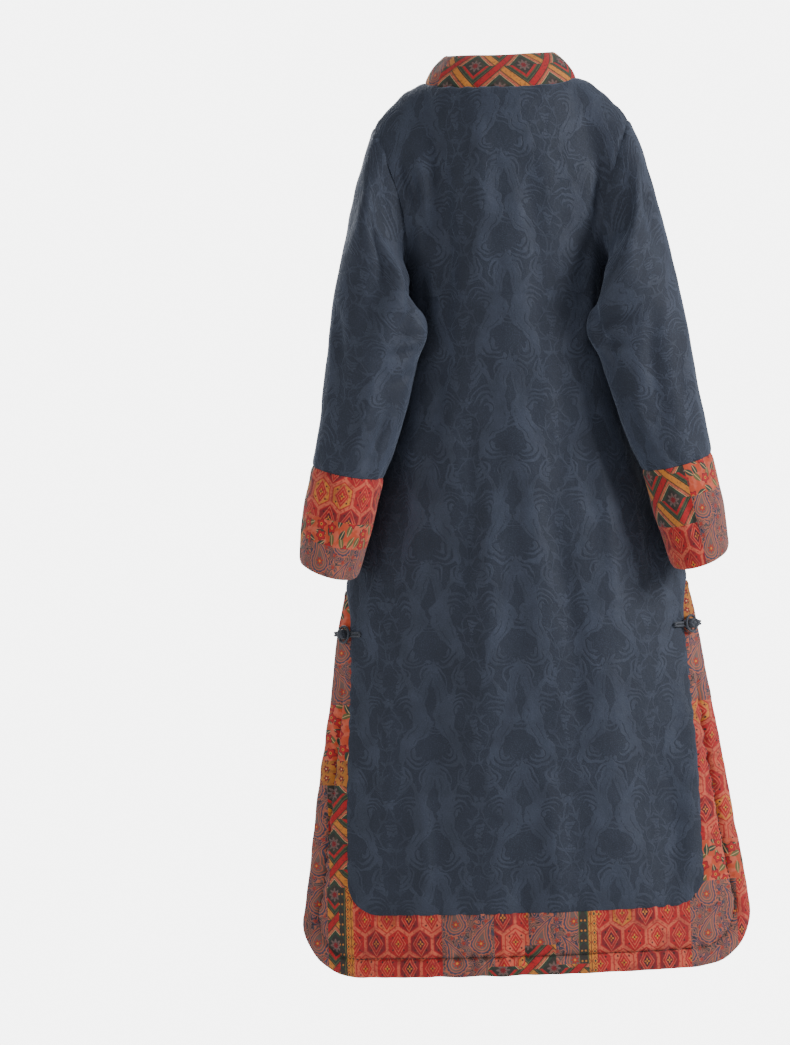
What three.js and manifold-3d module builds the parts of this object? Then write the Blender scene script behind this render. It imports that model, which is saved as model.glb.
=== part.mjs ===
// Long padded coat with a stand collar, patchwork cuffs and a patchwork band round the skirt.
// Millimetres, +Z up. The origin is at the neck, the front faces -Y and the wearer's left is +X.
// The coat is filled out as it is when worn: each piece is a wall that follows the body form.
import * as THREE from 'three';
import { mergeVertices } from 'three/addons/utils/BufferGeometryUtils.js';
import Module from 'manifold-3d';

const wasm = await Module();
wasm.setup();

// Driving dimensions
const wallThickness = 3;      // padded cloth, both faces
const seamGap = 0.3;          // between two sewn pieces
const neckHalfWidth = 97;     // at the collar seam
const neckSideY = 8;          // depth of the neck point, measured from the origin
const neckSideZ = 8;
const backNeckDrop = 17;
const frontNeckDrop = 83;
const backNeckReach = 70;
const frontNeckReach = 85;
const neckRoundOver = 70;     // fall over which the upper back reaches its full depth
const chestRoundOver = 170;   // the same at the front of the neck
const neckBlend = 140;        // fall over which the neck curve's corners fade out of the cloth
const shoulderX = 165;        // top of the armhole
const shoulderY = 20;
const shoulderZ = -50;
const armpitX = 152;
const armpitY = -10;
const armpitZ = -275;
const armholeBow = 28;        // how far the armhole seam curves towards the centre back and front
const backArmholeReach = 68;
const frontArmholeReach = 62;
const bandStartZ = -645;      // the side band starts as a point here
const navyBottomZ = -1070;
const hemZ = -1150;
const navyCornerRadius = 43;
const hemCornerRadius = 72;
const slitHalfGapAtHem = 14;
const sleeveClearance = 4;    // between a hanging sleeve and the body
const collarTopHalfWidth = 70;
const collarTopZ = 43;        // at the sides of the neck
const collarBackReach = 48;   // from the neck point to the top edge's centre back
const collarBackDrop = 8;
const collarFrontReach = 66;
const collarFrontDrop = 70;
const collarFrontRounding = 12;
const collarBulge = 3;
const sideFrogZ = -708;
const sideFrogX = 222;
const frontFrogTopZ = -112;
const frontFrogStep = 120;
const frontFrogCount = 5;

// Resolution of the walls
const armholeRows = 10;
const lowerRows = 16;
const bandCells = 3;
const collarCells = 3;

// One row for each level of the body. halfWidth runs to the side seam, or to the slit's edge below it.
// back and front are the depths from the side line; turn is how far round each face curves, in degrees.
const bodyLevels = [
  { z: 10, halfWidth: 185, back: 92, front: 92, turn: 62, sideY: 10 },
  { z: -60, halfWidth: 184, back: 99, front: 101, turn: 62, sideY: 5 },
  { z: -150, halfWidth: 170, back: 106, front: 118, turn: 66, sideY: -4 },
  { z: -275, halfWidth: 152, back: 103, front: 126, turn: 76, sideY: -10 },
  { z: -340, halfWidth: 161, back: 98, front: 121, turn: 78, sideY: -10 },
  { z: -450, halfWidth: 180, back: 95, front: 111, turn: 77, sideY: -10 },
  { z: -550, halfWidth: 203, back: 97, front: 109, turn: 76, sideY: -9 },
  { z: -645, halfWidth: 225, back: 98, front: 107, turn: 74, sideY: -8 },
  { z: -800, halfWidth: 250, back: 92, front: 100, turn: 66, sideY: -6 },
  { z: -950, halfWidth: 273, back: 82, front: 90, turn: 58, sideY: -4 },
  { z: -1150, halfWidth: 303, back: 68, front: 76, turn: 52, sideY: -2 },
];

// Half width of the navy cloth below the point where the band starts.
const navyLevels = [
  { z: -645, halfWidth: 225 },
  { z: -682, halfWidth: 219 },
  { z: -722, halfWidth: 218 },
  { z: -800, halfWidth: 222 },
  { z: -930, halfWidth: 229 },
  { z: -1070, halfWidth: 232 },
];

// Largest folds. x is signed (wearer's left is +); out is outward (+) or inward (-) at the deepest point.
const bodyFolds = [
  { face: 'back', topX: 88, bottomX: 112, topZ: -30, bottomZ: -640, spread: 19, out: -7 },
  { face: 'back', topX: 112, bottomX: 126, topZ: -80, bottomZ: -330, spread: 15, out: 4 },
  { face: 'back', topX: -104, bottomX: -92, topZ: -25, bottomZ: -420, spread: 18, out: -8 },
  { face: 'back', topX: -76, bottomX: -58, topZ: -40, bottomZ: -700, spread: 17, out: -4 },
  { face: 'back', topX: 92, bottomX: 124, topZ: -640, bottomZ: -1120, spread: 24, out: -6 },
  { face: 'back', topX: 34, bottomX: 58, topZ: -480, bottomZ: -1100, spread: 30, out: 5 },
  { face: 'back', topX: -168, bottomX: -186, topZ: -830, bottomZ: -1130, spread: 24, out: -6 },
  { face: 'back', topX: -110, bottomX: -128, topZ: -560, bottomZ: -1130, spread: 30, out: 4 },
  { face: 'front', topX: 96, bottomX: 118, topZ: -150, bottomZ: -620, spread: 24, out: -6 },
  { face: 'front', topX: -92, bottomX: -106, topZ: -140, bottomZ: -560, spread: 24, out: -7 },
  { face: 'front', topX: 120, bottomX: 150, topZ: -620, bottomZ: -1130, spread: 26, out: -6 },
  { face: 'front', topX: -64, bottomX: -86, topZ: -560, bottomZ: -1130, spread: 28, out: -5 },
  { face: 'front', topX: -150, bottomX: -176, topZ: -700, bottomZ: -1130, spread: 26, out: 5 },
];

// Rings of the left sleeve, from the armhole to the cuff seam. outer and inner are the ring's far and
// near points, depth is half its size from front to back, and droop lowers its back.
const sleeveRings = [
  { outerX: 178, outerY: 24, outerZ: -82, innerX: 148, innerY: 8, innerZ: -283, depth: 70, droop: 0 },
  { outerX: 190, outerY: 32, outerZ: -122, innerX: 139, innerY: 30, innerZ: -291, depth: 69, droop: 0 },
  { outerX: 201, outerY: 40, outerZ: -167, innerX: 128, innerY: 47, innerZ: -299, depth: 66, droop: 0 },
  { outerX: 211, outerY: 47, outerZ: -212, innerX: 119, innerY: 58, innerZ: -311, depth: 61, droop: 0 },
  { outerX: 221, outerY: 53, outerZ: -262, innerX: 115, innerY: 63, innerZ: -332, depth: 56, droop: 2 },
  { outerX: 232, outerY: 57, outerZ: -330, innerX: 119, innerY: 64, innerZ: -363, depth: 52, droop: 4 },
  { outerX: 242, outerY: 58, outerZ: -396, innerX: 133, innerY: 62, innerZ: -418, depth: 50, droop: 5 },
  { outerX: 250, outerY: 57, outerZ: -443, innerX: 148, innerY: 60, innerZ: -464, depth: 49, droop: 6 },
  { outerX: 258, outerY: 55, outerZ: -486, innerX: 165, innerY: 57, innerZ: -506, depth: 48, droop: 8 },
];
const cuffRings = [
  { outerX: 266, outerY: 52, outerZ: -530, innerX: 178, innerY: 54, innerZ: -549, depth: 47, droop: 9 },
  { outerX: 273, outerY: 49, outerZ: -572, innerX: 191, innerY: 51, innerZ: -592, depth: 46, droop: 11 },
  { outerX: 277, outerY: 46, outerZ: -608, innerX: 202, innerY: 48, innerZ: -630, depth: 46, droop: 13 },
];

// Finishes
const navy = new THREE.MeshStandardMaterial({ color: 0x2b3542, roughness: 0.72, metalness: 0 });
const patchwork = new THREE.MeshStandardMaterial({ color: 0x96503a, roughness: 0.85, metalness: 0 });
const cord = new THREE.MeshStandardMaterial({ color: 0x1d2633, roughness: 0.6, metalness: 0 });

const coat = new THREE.Group();

// Small helpers
const mix = (a, b, t) => a + (b - a) * t;
const clamp = (t) => Math.min(1, Math.max(0, t));
const smooth = (t) => clamp(t) * clamp(t) * (3 - 2 * clamp(t));
const radians = THREE.MathUtils.degToRad;

// A smooth value from a table column, at a height between its first and last row.
function levelAt(table, column, z) {
  const last = table.length - 1;
  let i = 0;
  while (i < last - 1 && z < table[i + 1].z) i += 1;
  const slope = (a, b) => (table[b][column] - table[a][column]) / (table[b].z - table[a].z);
  const span = table[i + 1].z - table[i].z;
  const t = clamp((z - table[i].z) / span);
  const startSlope = slope(Math.max(0, i - 1), i + 1) * span;
  const endSlope = slope(i, Math.min(last, i + 2)) * span;
  const start = table[i][column];
  const end = table[i + 1][column];
  const square = t * t;
  const cube = square * t;
  return start * (2 * cube - 3 * square + 1) + startSlope * (cube - 2 * square + t)
    + end * (3 * square - 2 * cube) + endSlope * (cube - square);
}

// Stations across half a panel, 0 at the centre line and 1 at the side. The first ones follow the
// neck curve in equal turns, and the last ones the navy cloth's rounded bottom corner.
const neckStation = neckHalfWidth / shoulderX;
const cornerStation = 1 - navyCornerRadius / levelAt(navyLevels, 'halfWidth', navyBottomZ);
const stations = [0, 9, 23, 45, 67, 90].map((turn) => neckStation * Math.sin(radians(turn)));
stations.push(mix(neckStation, cornerStation, 0.5), cornerStation);
for (const turn of [30, 60, 90]) stations.push(mix(cornerStation, 1, Math.sin(radians(turn))));

// Height of the navy cloth's lower edge at a station.
function navyLowerEdge(station) {
  const reach = clamp((station - cornerStation) / (1 - cornerStation));
  return navyBottomZ + navyCornerRadius * (1 - Math.sqrt(1 - reach * reach));
}

// The armhole loop on the left side: angle 0 is the shoulder point and 180 degrees the armpit.
// face is 1 along the back and -1 along the front.
function armholePoint(angle, face) {
  const up = Math.cos(angle);
  const side = Math.sin(angle);
  const reach = face > 0 ? backArmholeReach : frontArmholeReach;
  const bow = armholeBow * side * side * (1 - 0.5 * up);
  const middleX = (shoulderX + armpitX) / 2;
  const middleY = (shoulderY + armpitY) / 2;
  const middleZ = (shoulderZ + armpitZ) / 2;
  return new THREE.Vector3(
    middleX + up * (shoulderX - armpitX) / 2 - bow,
    middleY + up * (shoulderY - armpitY) / 2 + face * side * reach,
    middleZ + up * (shoulderZ - armpitZ) / 2,
  );
}

// Direction in the armhole's own plane, towards its middle.
function armholeInward(angle, face) {
  const reach = face > 0 ? backArmholeReach : frontArmholeReach;
  const height = (shoulderZ - armpitZ) / 2;
  return new THREE.Vector3(0, -face * Math.sin(angle) / reach, -Math.cos(angle) / height).normalize();
}

// The panels' top edge: the neck curve up to the neck point, then the shoulder seam.
function topPoint(station, face) {
  const x = station * shoulderX;
  if (station <= neckStation + 1e-6) {
    const across = Math.min(1, x / neckHalfWidth);
    const along = Math.sqrt(1 - across * across);
    const reach = face > 0 ? backNeckReach : -frontNeckReach;
    const drop = face > 0 ? backNeckDrop : frontNeckDrop;
    return new THREE.Vector3(x, neckSideY + reach * along, neckSideZ - drop * along);
  }
  const t = (x - neckHalfWidth) / (shoulderX - neckHalfWidth);
  const z = mix(neckSideZ, shoulderZ, Math.pow(t, 1.5));
  return new THREE.Vector3(x, mix(neckSideY, shoulderY, t), z);
}

// How full a section is at a fraction of its half width: 1 at the centre, 0 at the side.
function fullness(fraction, turn) {
  const sine = Math.min(1, Math.abs(fraction)) * Math.sin(turn);
  return (Math.sqrt(1 - sine * sine) - Math.cos(turn)) / (1 - Math.cos(turn));
}

// Outward movement of the folds on one face, fading to nothing at the sides.
function foldAt(x, z, face, fraction) {
  let total = 0;
  for (const fold of bodyFolds) {
    if ((fold.face === 'back') !== (face > 0)) continue;
    const t = (fold.topZ - z) / (fold.topZ - fold.bottomZ);
    if (t <= 0 || t >= 1) continue;
    const centre = mix(fold.topX, fold.bottomX, t);
    const away = (x - centre) / fold.spread;
    total += fold.out * Math.exp(-away * away) * Math.sin(Math.PI * Math.pow(t, 0.8));
  }
  return total * (1 - Math.pow(Math.min(1, Math.abs(fraction)), 6));
}

// The unfolded body's section at a height: its y at a distance from the centre line.
function sectionY(x, z, face) {
  const turn = radians(levelAt(bodyLevels, 'turn', z));
  const sideY = levelAt(bodyLevels, 'sideY', z);
  const depth = face * levelAt(bodyLevels, face > 0 ? 'back' : 'front', z);
  return mix(sideY, depth, fullness(x / levelAt(bodyLevels, 'halfWidth', z), turn));
}

const slitHalfGap = (z) => seamGap / 2 + slitHalfGapAtHem * smooth((sideFrogZ - z) / (sideFrogZ - hemZ));

// A point of the body below the armpits. x is signed.
function skirtPoint(x, z, face) {
  const fraction = x / levelAt(bodyLevels, 'halfWidth', z);
  const outward = slitHalfGap(z) + foldAt(x, z, face, fraction);
  return new THREE.Vector3(x, sectionY(x, z, face) + face * outward, z);
}

// A point of the body from the shoulder down to the armpit, on armhole row k.
function yokePoint(station, k, face, side) {
  const angle = Math.PI * k / armholeRows;
  const edge = armholePoint(angle, face);
  const top = topPoint(station, face);
  const fall = (shoulderZ - edge.z) / (shoulderZ - armpitZ);
  const x = station * edge.x;
  const z = mix(top.z, armpitZ, fall);
  const halfHeight = (shoulderZ - armpitZ) / 2;
  const outOnShoulder = smooth((station - neckStation) / (1 - neckStation));
  const start = yokeStart(station, face, top, smooth((top.z - z) / neckBlend));
  const rise = 1 - clamp((start.z - z) / mix(neckRoundOver, halfHeight, smooth(station / neckStation)));
  const round = Math.sqrt(1 - rise * rise);
  const chestSlope = Math.sin(clamp((start.z - z) / chestRoundOver) * Math.PI / 2);
  const cap = face > 0 ? round : mix(chestSlope, round, outOnShoulder);
  const edgeY = angle < Math.PI / 2 ? armholePoint(Math.PI / 2, face).y : edge.y;
  const pull = Math.pow(station, 4);
  const atEdge = sectionY(edge.x, z, face);
  const full = sectionY(x, z, face) + (edgeY - atEdge) * pull + face * foldAt(side * x, z, face, station);
  const y = mix(mix(start.y, full, cap), edge.y, Math.pow(station, 12));
  return new THREE.Vector3(side * x, y + face * seamGap / 2, z);
}

// Where the cloth starts to fall from: the top edge itself, then an even line as the neck curve fades.
function yokeStart(station, face, top, faded) {
  const centreY = neckSideY + (face > 0 ? backNeckReach : -frontNeckReach);
  const centreZ = neckSideZ - (face > 0 ? backNeckDrop : frontNeckDrop);
  const out = smooth(station);
  return {
    y: mix(top.y, mix(centreY, shoulderY, out), faded),
    z: mix(top.z, mix(centreZ, shoulderZ, out), faded),
  };
}

// The whole navy face: station is signed, rows run from the shoulder to the lower edge.
function panelPoint(station, row, face) {
  const side = station < 0 ? -1 : 1;
  const size = Math.abs(station);
  if (row <= armholeRows) return yokePoint(size, row, face, side);
  const t = (row - armholeRows) / lowerRows;
  const z = mix(armpitZ, navyLowerEdge(size), t);
  const wide = z > bandStartZ ? levelAt(bodyLevels, 'halfWidth', z) : levelAt(navyLevels, 'halfWidth', z);
  return skirtPoint(station * wide, z, face);
}

// Outward directions on a grid of points, from each point's neighbours.
function gridNormals(points, wraps, outwardSign) {
  const rows = points.length;
  const columns = points[0].length;
  return points.map((line, i) => line.map((point, j) => {
    const above = points[Math.max(0, i - 1)][j];
    const below = points[Math.min(rows - 1, i + 1)][j];
    const before = wraps ? line[(j + columns - 1) % columns] : line[Math.max(0, j - 1)];
    const after = wraps ? line[(j + 1) % columns] : line[Math.min(columns - 1, j + 1)];
    const down = below.clone().sub(above);
    const along = after.clone().sub(before);
    return down.cross(along).normalize().multiplyScalar(outwardSign);
  }));
}

// The inner face: each outer point moved in by the wall, along its own direction or the seam's.
function innerFace(points, wraps, outwardSign, seamDirection) {
  const normals = gridNormals(points, wraps, outwardSign);
  return points.map((line, i) => line.map((point, j) => {
    const direction = seamDirection(i, j) || normals[i][j].negate();
    return point.clone().addScaledVector(direction, wallThickness);
  }));
}

// The same for a tube: its own directions are steadied by the way to the middle of each ring.
function innerTube(points, seamDirection) {
  const normals = gridNormals(points, true, 1);
  return points.map((ring, i) => {
    const middle = new THREE.Vector3();
    for (const point of ring) middle.addScaledVector(point, 1 / ring.length);
    return ring.map((point, j) => {
      const toMiddle = middle.clone().sub(point).normalize();
      const normal = normals[i][j];
      if (normal.dot(toMiddle) < 0) normal.negate();
      const direction = seamDirection(i, j) || normal.addScaledVector(toMiddle, 0.6).normalize();
      return point.clone().addScaledVector(direction, wallThickness);
    });
  });
}

// A closed wall between two grids of points, with its rims.
function wallGeometry(outer, inner, wraps) {
  const rows = outer.length;
  const columns = outer[0].length;
  const positions = [];
  for (const face of [outer, inner]) {
    for (const line of face) for (const point of line) positions.push(point.x, point.y, point.z);
  }
  const indices = [];
  const at = (layer, i, j) => layer * rows * columns + i * columns + (j % columns);
  const quad = (a, b, c, d) => indices.push(a, b, c, a, c, d);
  const spans = wraps ? columns : columns - 1;
  for (let i = 0; i < rows - 1; i += 1) {
    for (let j = 0; j < spans; j += 1) {
      quad(at(0, i, j), at(0, i + 1, j), at(0, i + 1, j + 1), at(0, i, j + 1));
      quad(at(1, i, j + 1), at(1, i + 1, j + 1), at(1, i + 1, j), at(1, i, j));
    }
  }
  for (let j = 0; j < spans; j += 1) {
    const end = rows - 1;
    quad(at(1, 0, j), at(0, 0, j), at(0, 0, j + 1), at(1, 0, j + 1));
    quad(at(0, end, j), at(1, end, j), at(1, end, j + 1), at(0, end, j + 1));
  }
  for (let i = 0; i < rows - 1 && !wraps; i += 1) {
    const end = columns - 1;
    quad(at(0, i, 0), at(1, i, 0), at(1, i + 1, 0), at(0, i + 1, 0));
    quad(at(1, i, end), at(0, i, end), at(0, i + 1, end), at(1, i + 1, end));
  }
  const geometry = new THREE.BufferGeometry();
  geometry.setAttribute('position', new THREE.Float32BufferAttribute(positions, 3));
  geometry.setIndex(facingOut(positions, indices));
  return geometry;
}

// The triangles turned so that the solid they enclose is positive.
function facingOut(positions, indices) {
  const corner = (i) => new THREE.Vector3().fromArray(positions, 3 * i);
  let volume = 0;
  for (let i = 0; i < indices.length; i += 3) {
    const [a, b, c] = [corner(indices[i]), corner(indices[i + 1]), corner(indices[i + 2])];
    volume += a.dot(b.cross(c));
  }
  if (volume > 0) return indices;
  const turned = [];
  for (let i = 0; i < indices.length; i += 3) turned.push(indices[i], indices[i + 2], indices[i + 1]);
  return turned;
}

const mirrored = (points) => points.map((line) => line.map((p) => new THREE.Vector3(-p.x, p.y, p.z)));

function addPiece(name, geometry, material) {
  const shaded = geometry.clone();
  shaded.computeVertexNormals();
  const mesh = new THREE.Mesh(shaded, material);
  mesh.name = name;
  coat.add(mesh);
}

// Seam directions of the navy panels: down at the shoulder, in and down at the neck, along the armhole's
// plane at the armhole, straight in at the side.
function panelSeam(station, row, face) {
  const size = Math.abs(station);
  const side = station < 0 ? -1 : 1;
  if (row === 0 && size <= neckStation + 1e-6) {
    const point = topPoint(size, face);
    const inward = new THREE.Vector3(-side * point.x, -(point.y - neckSideY), 0);
    if (inward.length() < 1) inward.set(0, -face, 0);
    return inward.normalize().multiplyScalar(0.8).setZ(-0.6);
  }
  if (row === 0) return new THREE.Vector3(0, 0, -1);
  if (size < 1) return undefined;
  if (row < armholeRows) return armholeInward(Math.PI * row / armholeRows, face);
  if (row === armholeRows) return new THREE.Vector3(-side * Math.SQRT1_2, 0, Math.SQRT1_2);
  return new THREE.Vector3(-side, 0, 0);
}

const panelRows = armholeRows + lowerRows + 1;

function panelGrid(stationList, face) {
  const outer = [];
  for (let row = 0; row < panelRows; row += 1) {
    outer.push(stationList.map((station) => panelPoint(station, row, face)));
  }
  const seam = (i, j) => panelSeam(stationList[j], i, face);
  const runsLeftToRight = stationList[0] > stationList[stationList.length - 1];
  return { outer, inner: innerFace(outer, false, runsLeftToRight ? face : -face, seam) };
}

function addBackPanel() {
  const left = stations.slice(1).reverse();
  const across = [...left, 0, ...stations.slice(1).map((station) => -station)];
  const { outer, inner } = panelGrid(across, 1);
  addPiece('back_panel', wallGeometry(outer, inner, false), navy);
}

function addFronts() {
  for (const [name, side] of [['left_front', 1], ['right_front', -1]]) {
    const across = stations.map((station) => side * station);
    const { outer, inner } = panelGrid(across, -1);
    // the centre edge stands half a seam from the middle, and its wall runs straight back
    for (let i = 0; i < outer.length; i += 1) {
      outer[i][0].x = side * seamGap;
      inner[i][0].x = side * seamGap;
    }
    addPiece(name, wallGeometry(outer, inner, false), navy);
  }
}

// Sleeves and cuffs, made on the left and mirrored
function ringPoint(ring, angle) {
  const out = (Math.cos(angle) + 1) / 2;
  const side = Math.sin(angle);
  const point = new THREE.Vector3(
    mix(ring.innerX, ring.outerX, out),
    mix(ring.innerY, ring.outerY, out) + side * ring.depth,
    mix(ring.innerZ, ring.outerZ, out) - side * ring.droop,
  );
  return clearOfBody(point);
}

// Whether a place lies inside the body's section, grown by the clearance. Above the armpit only the
// armhole's own opening is closed to the sleeve.
function insideBody(x, y, z) {
  if (z > armpitZ) {
    const angle = Math.acos((2 * z - shoulderZ - armpitZ) / (shoulderZ - armpitZ));
    const back = armholePoint(angle, 1);
    const front = armholePoint(angle, -1);
    return y < back.y && y > front.y && x < back.x + sleeveClearance / 2;
  }
  const halfWidth = levelAt(bodyLevels, 'halfWidth', z) + sleeveClearance;
  if (x > halfWidth) return false;
  const turn = radians(levelAt(bodyLevels, 'turn', z));
  const sideY = levelAt(bodyLevels, 'sideY', z);
  const full = fullness(x / halfWidth, turn);
  const back = mix(sideY, levelAt(bodyLevels, 'back', z) + sleeveClearance, full);
  const front = mix(sideY, -levelAt(bodyLevels, 'front', z) - sleeveClearance, full);
  return y < back && y > front;
}

// The sleeve rests against the body: a place inside it is moved out until it lies on it.
function clearOfBody(point) {
  const coreX = 0.55 * levelAt(bodyLevels, 'halfWidth', point.z);
  const coreY = levelAt(bodyLevels, 'sideY', point.z);
  let grow = 1;
  const at = () => [mix(coreX, point.x, grow), mix(coreY, point.y, grow), point.z];
  while (grow < 2 && insideBody(...at())) grow += 0.01;
  return new THREE.Vector3(...at());
}

const ringSteps = 2 * armholeRows;

function sleeveGrids() {
  const angles = Array.from({ length: ringSteps }, (_, k) => 2 * Math.PI * k / ringSteps);
  const faceOf = (angle) => (angle <= Math.PI ? 1 : -1);
  const folded = (angle) => (angle <= Math.PI ? angle : 2 * Math.PI - angle);
  const armhole = angles.map((angle) => armholePoint(folded(angle), faceOf(angle)));
  for (const point of armhole) point.x += 1.4 * seamGap;
  const outer = [armhole];
  for (const ring of sleeveRings) outer.push(angles.map((angle) => ringPoint(ring, angle)));
  const cuffSeam = sleeveRings[sleeveRings.length - 1];
  const cuffOuter = [cuffSeam, ...cuffRings].map((ring) => angles.map((angle) => ringPoint(ring, angle)));
  for (const point of cuffOuter[0]) point.add(new THREE.Vector3(0.2 * seamGap, 0, -seamGap));
  const seam = (i, j) => {
    if (i > 0) return undefined;
    return armholeInward(folded(angles[j]), faceOf(angles[j]));
  };
  const sleeve = { outer, inner: innerTube(outer, seam) };
  const cuffInner = innerTube(cuffOuter, () => undefined);
  const shared = sleeve.inner[sleeve.inner.length - 1];
  cuffInner[0] = shared.map((point) => point.clone().add(new THREE.Vector3(0.2 * seamGap, 0, -seamGap)));
  return { sleeve, cuff: { outer: cuffOuter, inner: cuffInner } };
}

function addSleeves() {
  const { sleeve, cuff } = sleeveGrids();
  const pieces = [['sleeve', sleeve, navy], ['cuff', cuff, patchwork]];
  for (const [name, grid, material] of pieces) {
    addPiece(`left_${name}`, wallGeometry(grid.outer, grid.inner, true), material);
    addPiece(`right_${name}`, wallGeometry(mirrored(grid.outer), mirrored(grid.inner), true), material);
  }
}

// Stand collar, from the left front edge round the back to the right front edge
function addCollar() {
  const neckTurns = [0, 9, 23, 45, 67, 90];
  const columns = [];
  for (const turn of neckTurns) columns.push({ turn, face: -1, side: 1 });
  for (const turn of neckTurns.slice(0, -1).reverse()) columns.push({ turn, face: 1, side: 1 });
  for (const turn of neckTurns.slice(1)) columns.push({ turn, face: 1, side: -1 });
  for (const turn of neckTurns.slice(0, -1).reverse()) columns.push({ turn, face: -1, side: -1 });
  const height = (t, column) => {
    const base = topPoint(neckStation * Math.sin(radians(column.turn)), column.face);
    const along = Math.cos(radians(column.turn));
    const isFrontEdge = column.face < 0 && column.turn === 0;
    const reach = column.face > 0 ? collarBackReach : -collarFrontReach;
    const drop = column.face > 0 ? collarBackDrop : collarFrontDrop;
    const rounding = isFrontEdge ? collarFrontRounding : 0;
    const bulge = collarBulge * Math.sin(Math.PI * t);
    const top = new THREE.Vector3(
      collarTopHalfWidth * Math.sin(radians(column.turn)),
      neckSideY + reach * along,
      collarTopZ - drop * along - rounding,
    );
    const point = base.lerp(top, t);
    point.x += bulge * Math.sin(radians(column.turn));
    point.y += bulge * column.face * along;
    point.z += 1.4 * seamGap;
    point.x = column.side * Math.max(point.x, seamGap + 0.2);
    if (column.face > 0 && column.turn === 0) point.x = 0;
    return point;
  };
  const outer = [];
  for (let i = 0; i <= collarCells; i += 1) {
    outer.push(columns.map((column) => height(i / collarCells, column)));
  }
  const seam = (i, j) => {
    const { turn, face, side } = columns[j];
    if (i > 0) return undefined;
    return panelSeam(side * neckStation * Math.sin(radians(turn)), 0, face);
  };
  const inner = innerFace(outer, false, -1, seam);
  for (let i = 0; i <= collarCells; i += 1) {
    inner[i][0].x = outer[i][0].x;
    inner[i][columns.length - 1].x = outer[i][columns.length - 1].x;
  }
  addPiece('collar', wallGeometry(outer, inner, false), patchwork);
}

// The band's outer edge on the left side, from where it starts down to the hem's centre
function bandOuterPath() {
  const path = [];
  const cornerTopZ = hemZ + hemCornerRadius;
  for (let z = navyBottomZ + navyCornerRadius; z > cornerTopZ + 1; z -= 17) {
    path.push([levelAt(bodyLevels, 'halfWidth', z), z]);
  }
  const sideX = levelAt(bodyLevels, 'halfWidth', cornerTopZ);
  const centreX = sideX - hemCornerRadius;
  for (let turn = 0; turn <= 90; turn += 10) {
    const angle = radians(turn);
    path.push([centreX + hemCornerRadius * Math.cos(angle), cornerTopZ - hemCornerRadius * Math.sin(angle)]);
  }
  path.push([cornerStation * levelAt(navyLevels, 'halfWidth', navyBottomZ), hemZ]);
  return path;
}

// A point at a fraction of a polyline's length
function alongPath(path, fraction) {
  const lengths = [0];
  for (let i = 1; i < path.length; i += 1) {
    const step = Math.hypot(path[i][0] - path[i - 1][0], path[i][1] - path[i - 1][1]);
    lengths.push(lengths[i - 1] + step);
  }
  const wanted = fraction * lengths[lengths.length - 1];
  let i = 1;
  while (i < path.length - 1 && lengths[i] < wanted) i += 1;
  const t = (wanted - lengths[i - 1]) / (lengths[i] - lengths[i - 1]);
  return [mix(path[i - 1][0], path[i][0], t), mix(path[i - 1][1], path[i][1], t)];
}

// Pairs of inner and outer points of half a band, from its start at the side to the centre line
function bandPairs(face) {
  const pairs = [];
  const rim = armholeRows + lowerRows;
  const flat = (point) => [point.x, point.z];
  for (let row = armholeRows + 1; row <= rim; row += 1) {
    const edge = panelPoint(1, row, face);
    if (edge.z > bandStartZ - 4) continue;
    const outside = [levelAt(bodyLevels, 'halfWidth', edge.z), edge.z];
    pairs.push({ inside: flat(edge), outside, push: [1, 0] });
  }
  const path = bandOuterPath();
  const cornerPoints = [...stations].reverse().filter((station) => station >= cornerStation - 1e-6);
  const spans = 2 * (cornerPoints.length - 1);
  for (let step = 1; step <= spans; step += 1) {
    const from = panelPoint(cornerPoints[Math.floor((step - 1) / 2)], rim, face);
    const to = panelPoint(cornerPoints[Math.floor((step - 1) / 2) + 1], rim, face);
    const inside = step % 2 === 1 ? from.lerp(to, 0.5) : to;
    const angle = radians(90 * step / spans);
    const push = [Math.cos(angle), -Math.sin(angle)];
    pairs.push({ inside: flat(inside), outside: alongPath(path, step / spans), push });
  }
  for (const station of [...stations].reverse()) {
    if (station >= cornerStation - 1e-6) continue;
    const edge = panelPoint(station, rim, face);
    pairs.push({ inside: flat(edge), outside: [edge.x, hemZ], push: [0, -1] });
  }
  return pairs;
}

function bandLine(pair, side, face) {
  const line = [];
  for (let q = 0; q <= bandCells; q += 1) {
    const t = q / bandCells;
    const gap = seamGap * (1 - t);
    const x = mix(pair.inside[0], pair.outside[0], t) + gap * pair.push[0];
    const z = mix(pair.inside[1], pair.outside[1], t) + gap * pair.push[1];
    line.push(skirtPoint(side * x, z, face));
  }
  return line;
}

function bandSeam(pairs, halves) {
  return (i, j) => {
    const pair = pairs[i];
    const isSlitEdge = j === bandCells && pair.push[1] > -0.6;
    return isSlitEdge ? new THREE.Vector3(-halves[i], 0, 0) : undefined;
  };
}

function addBands() {
  const back = bandPairs(1);
  const right = back.slice(0, -1).reverse();
  const pairs = [...back, ...right];
  const halves = pairs.map((_, i) => (i < back.length ? 1 : -1));
  const backOuter = pairs.map((pair, i) => bandLine(pair, halves[i], 1));
  const backInner = innerFace(backOuter, false, -1, bandSeam(pairs, halves));
  addPiece('back_border', wallGeometry(backOuter, backInner, false), patchwork);
  for (const [name, side] of [['left_front_border', 1], ['right_front_border', -1]]) {
    const front = bandPairs(-1);
    const outer = front.map((pair) => bandLine(pair, side, -1));
    const inner = innerFace(outer, false, side, bandSeam(front, front.map(() => side)));
    const last = outer.length - 1;
    for (let q = 0; q <= bandCells; q += 1) {
      outer[last][q].x = side * seamGap;
      inner[last][q].x = side * seamGap;
    }
    addPiece(name, wallGeometry(outer, inner, false), patchwork);
  }
}

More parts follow.
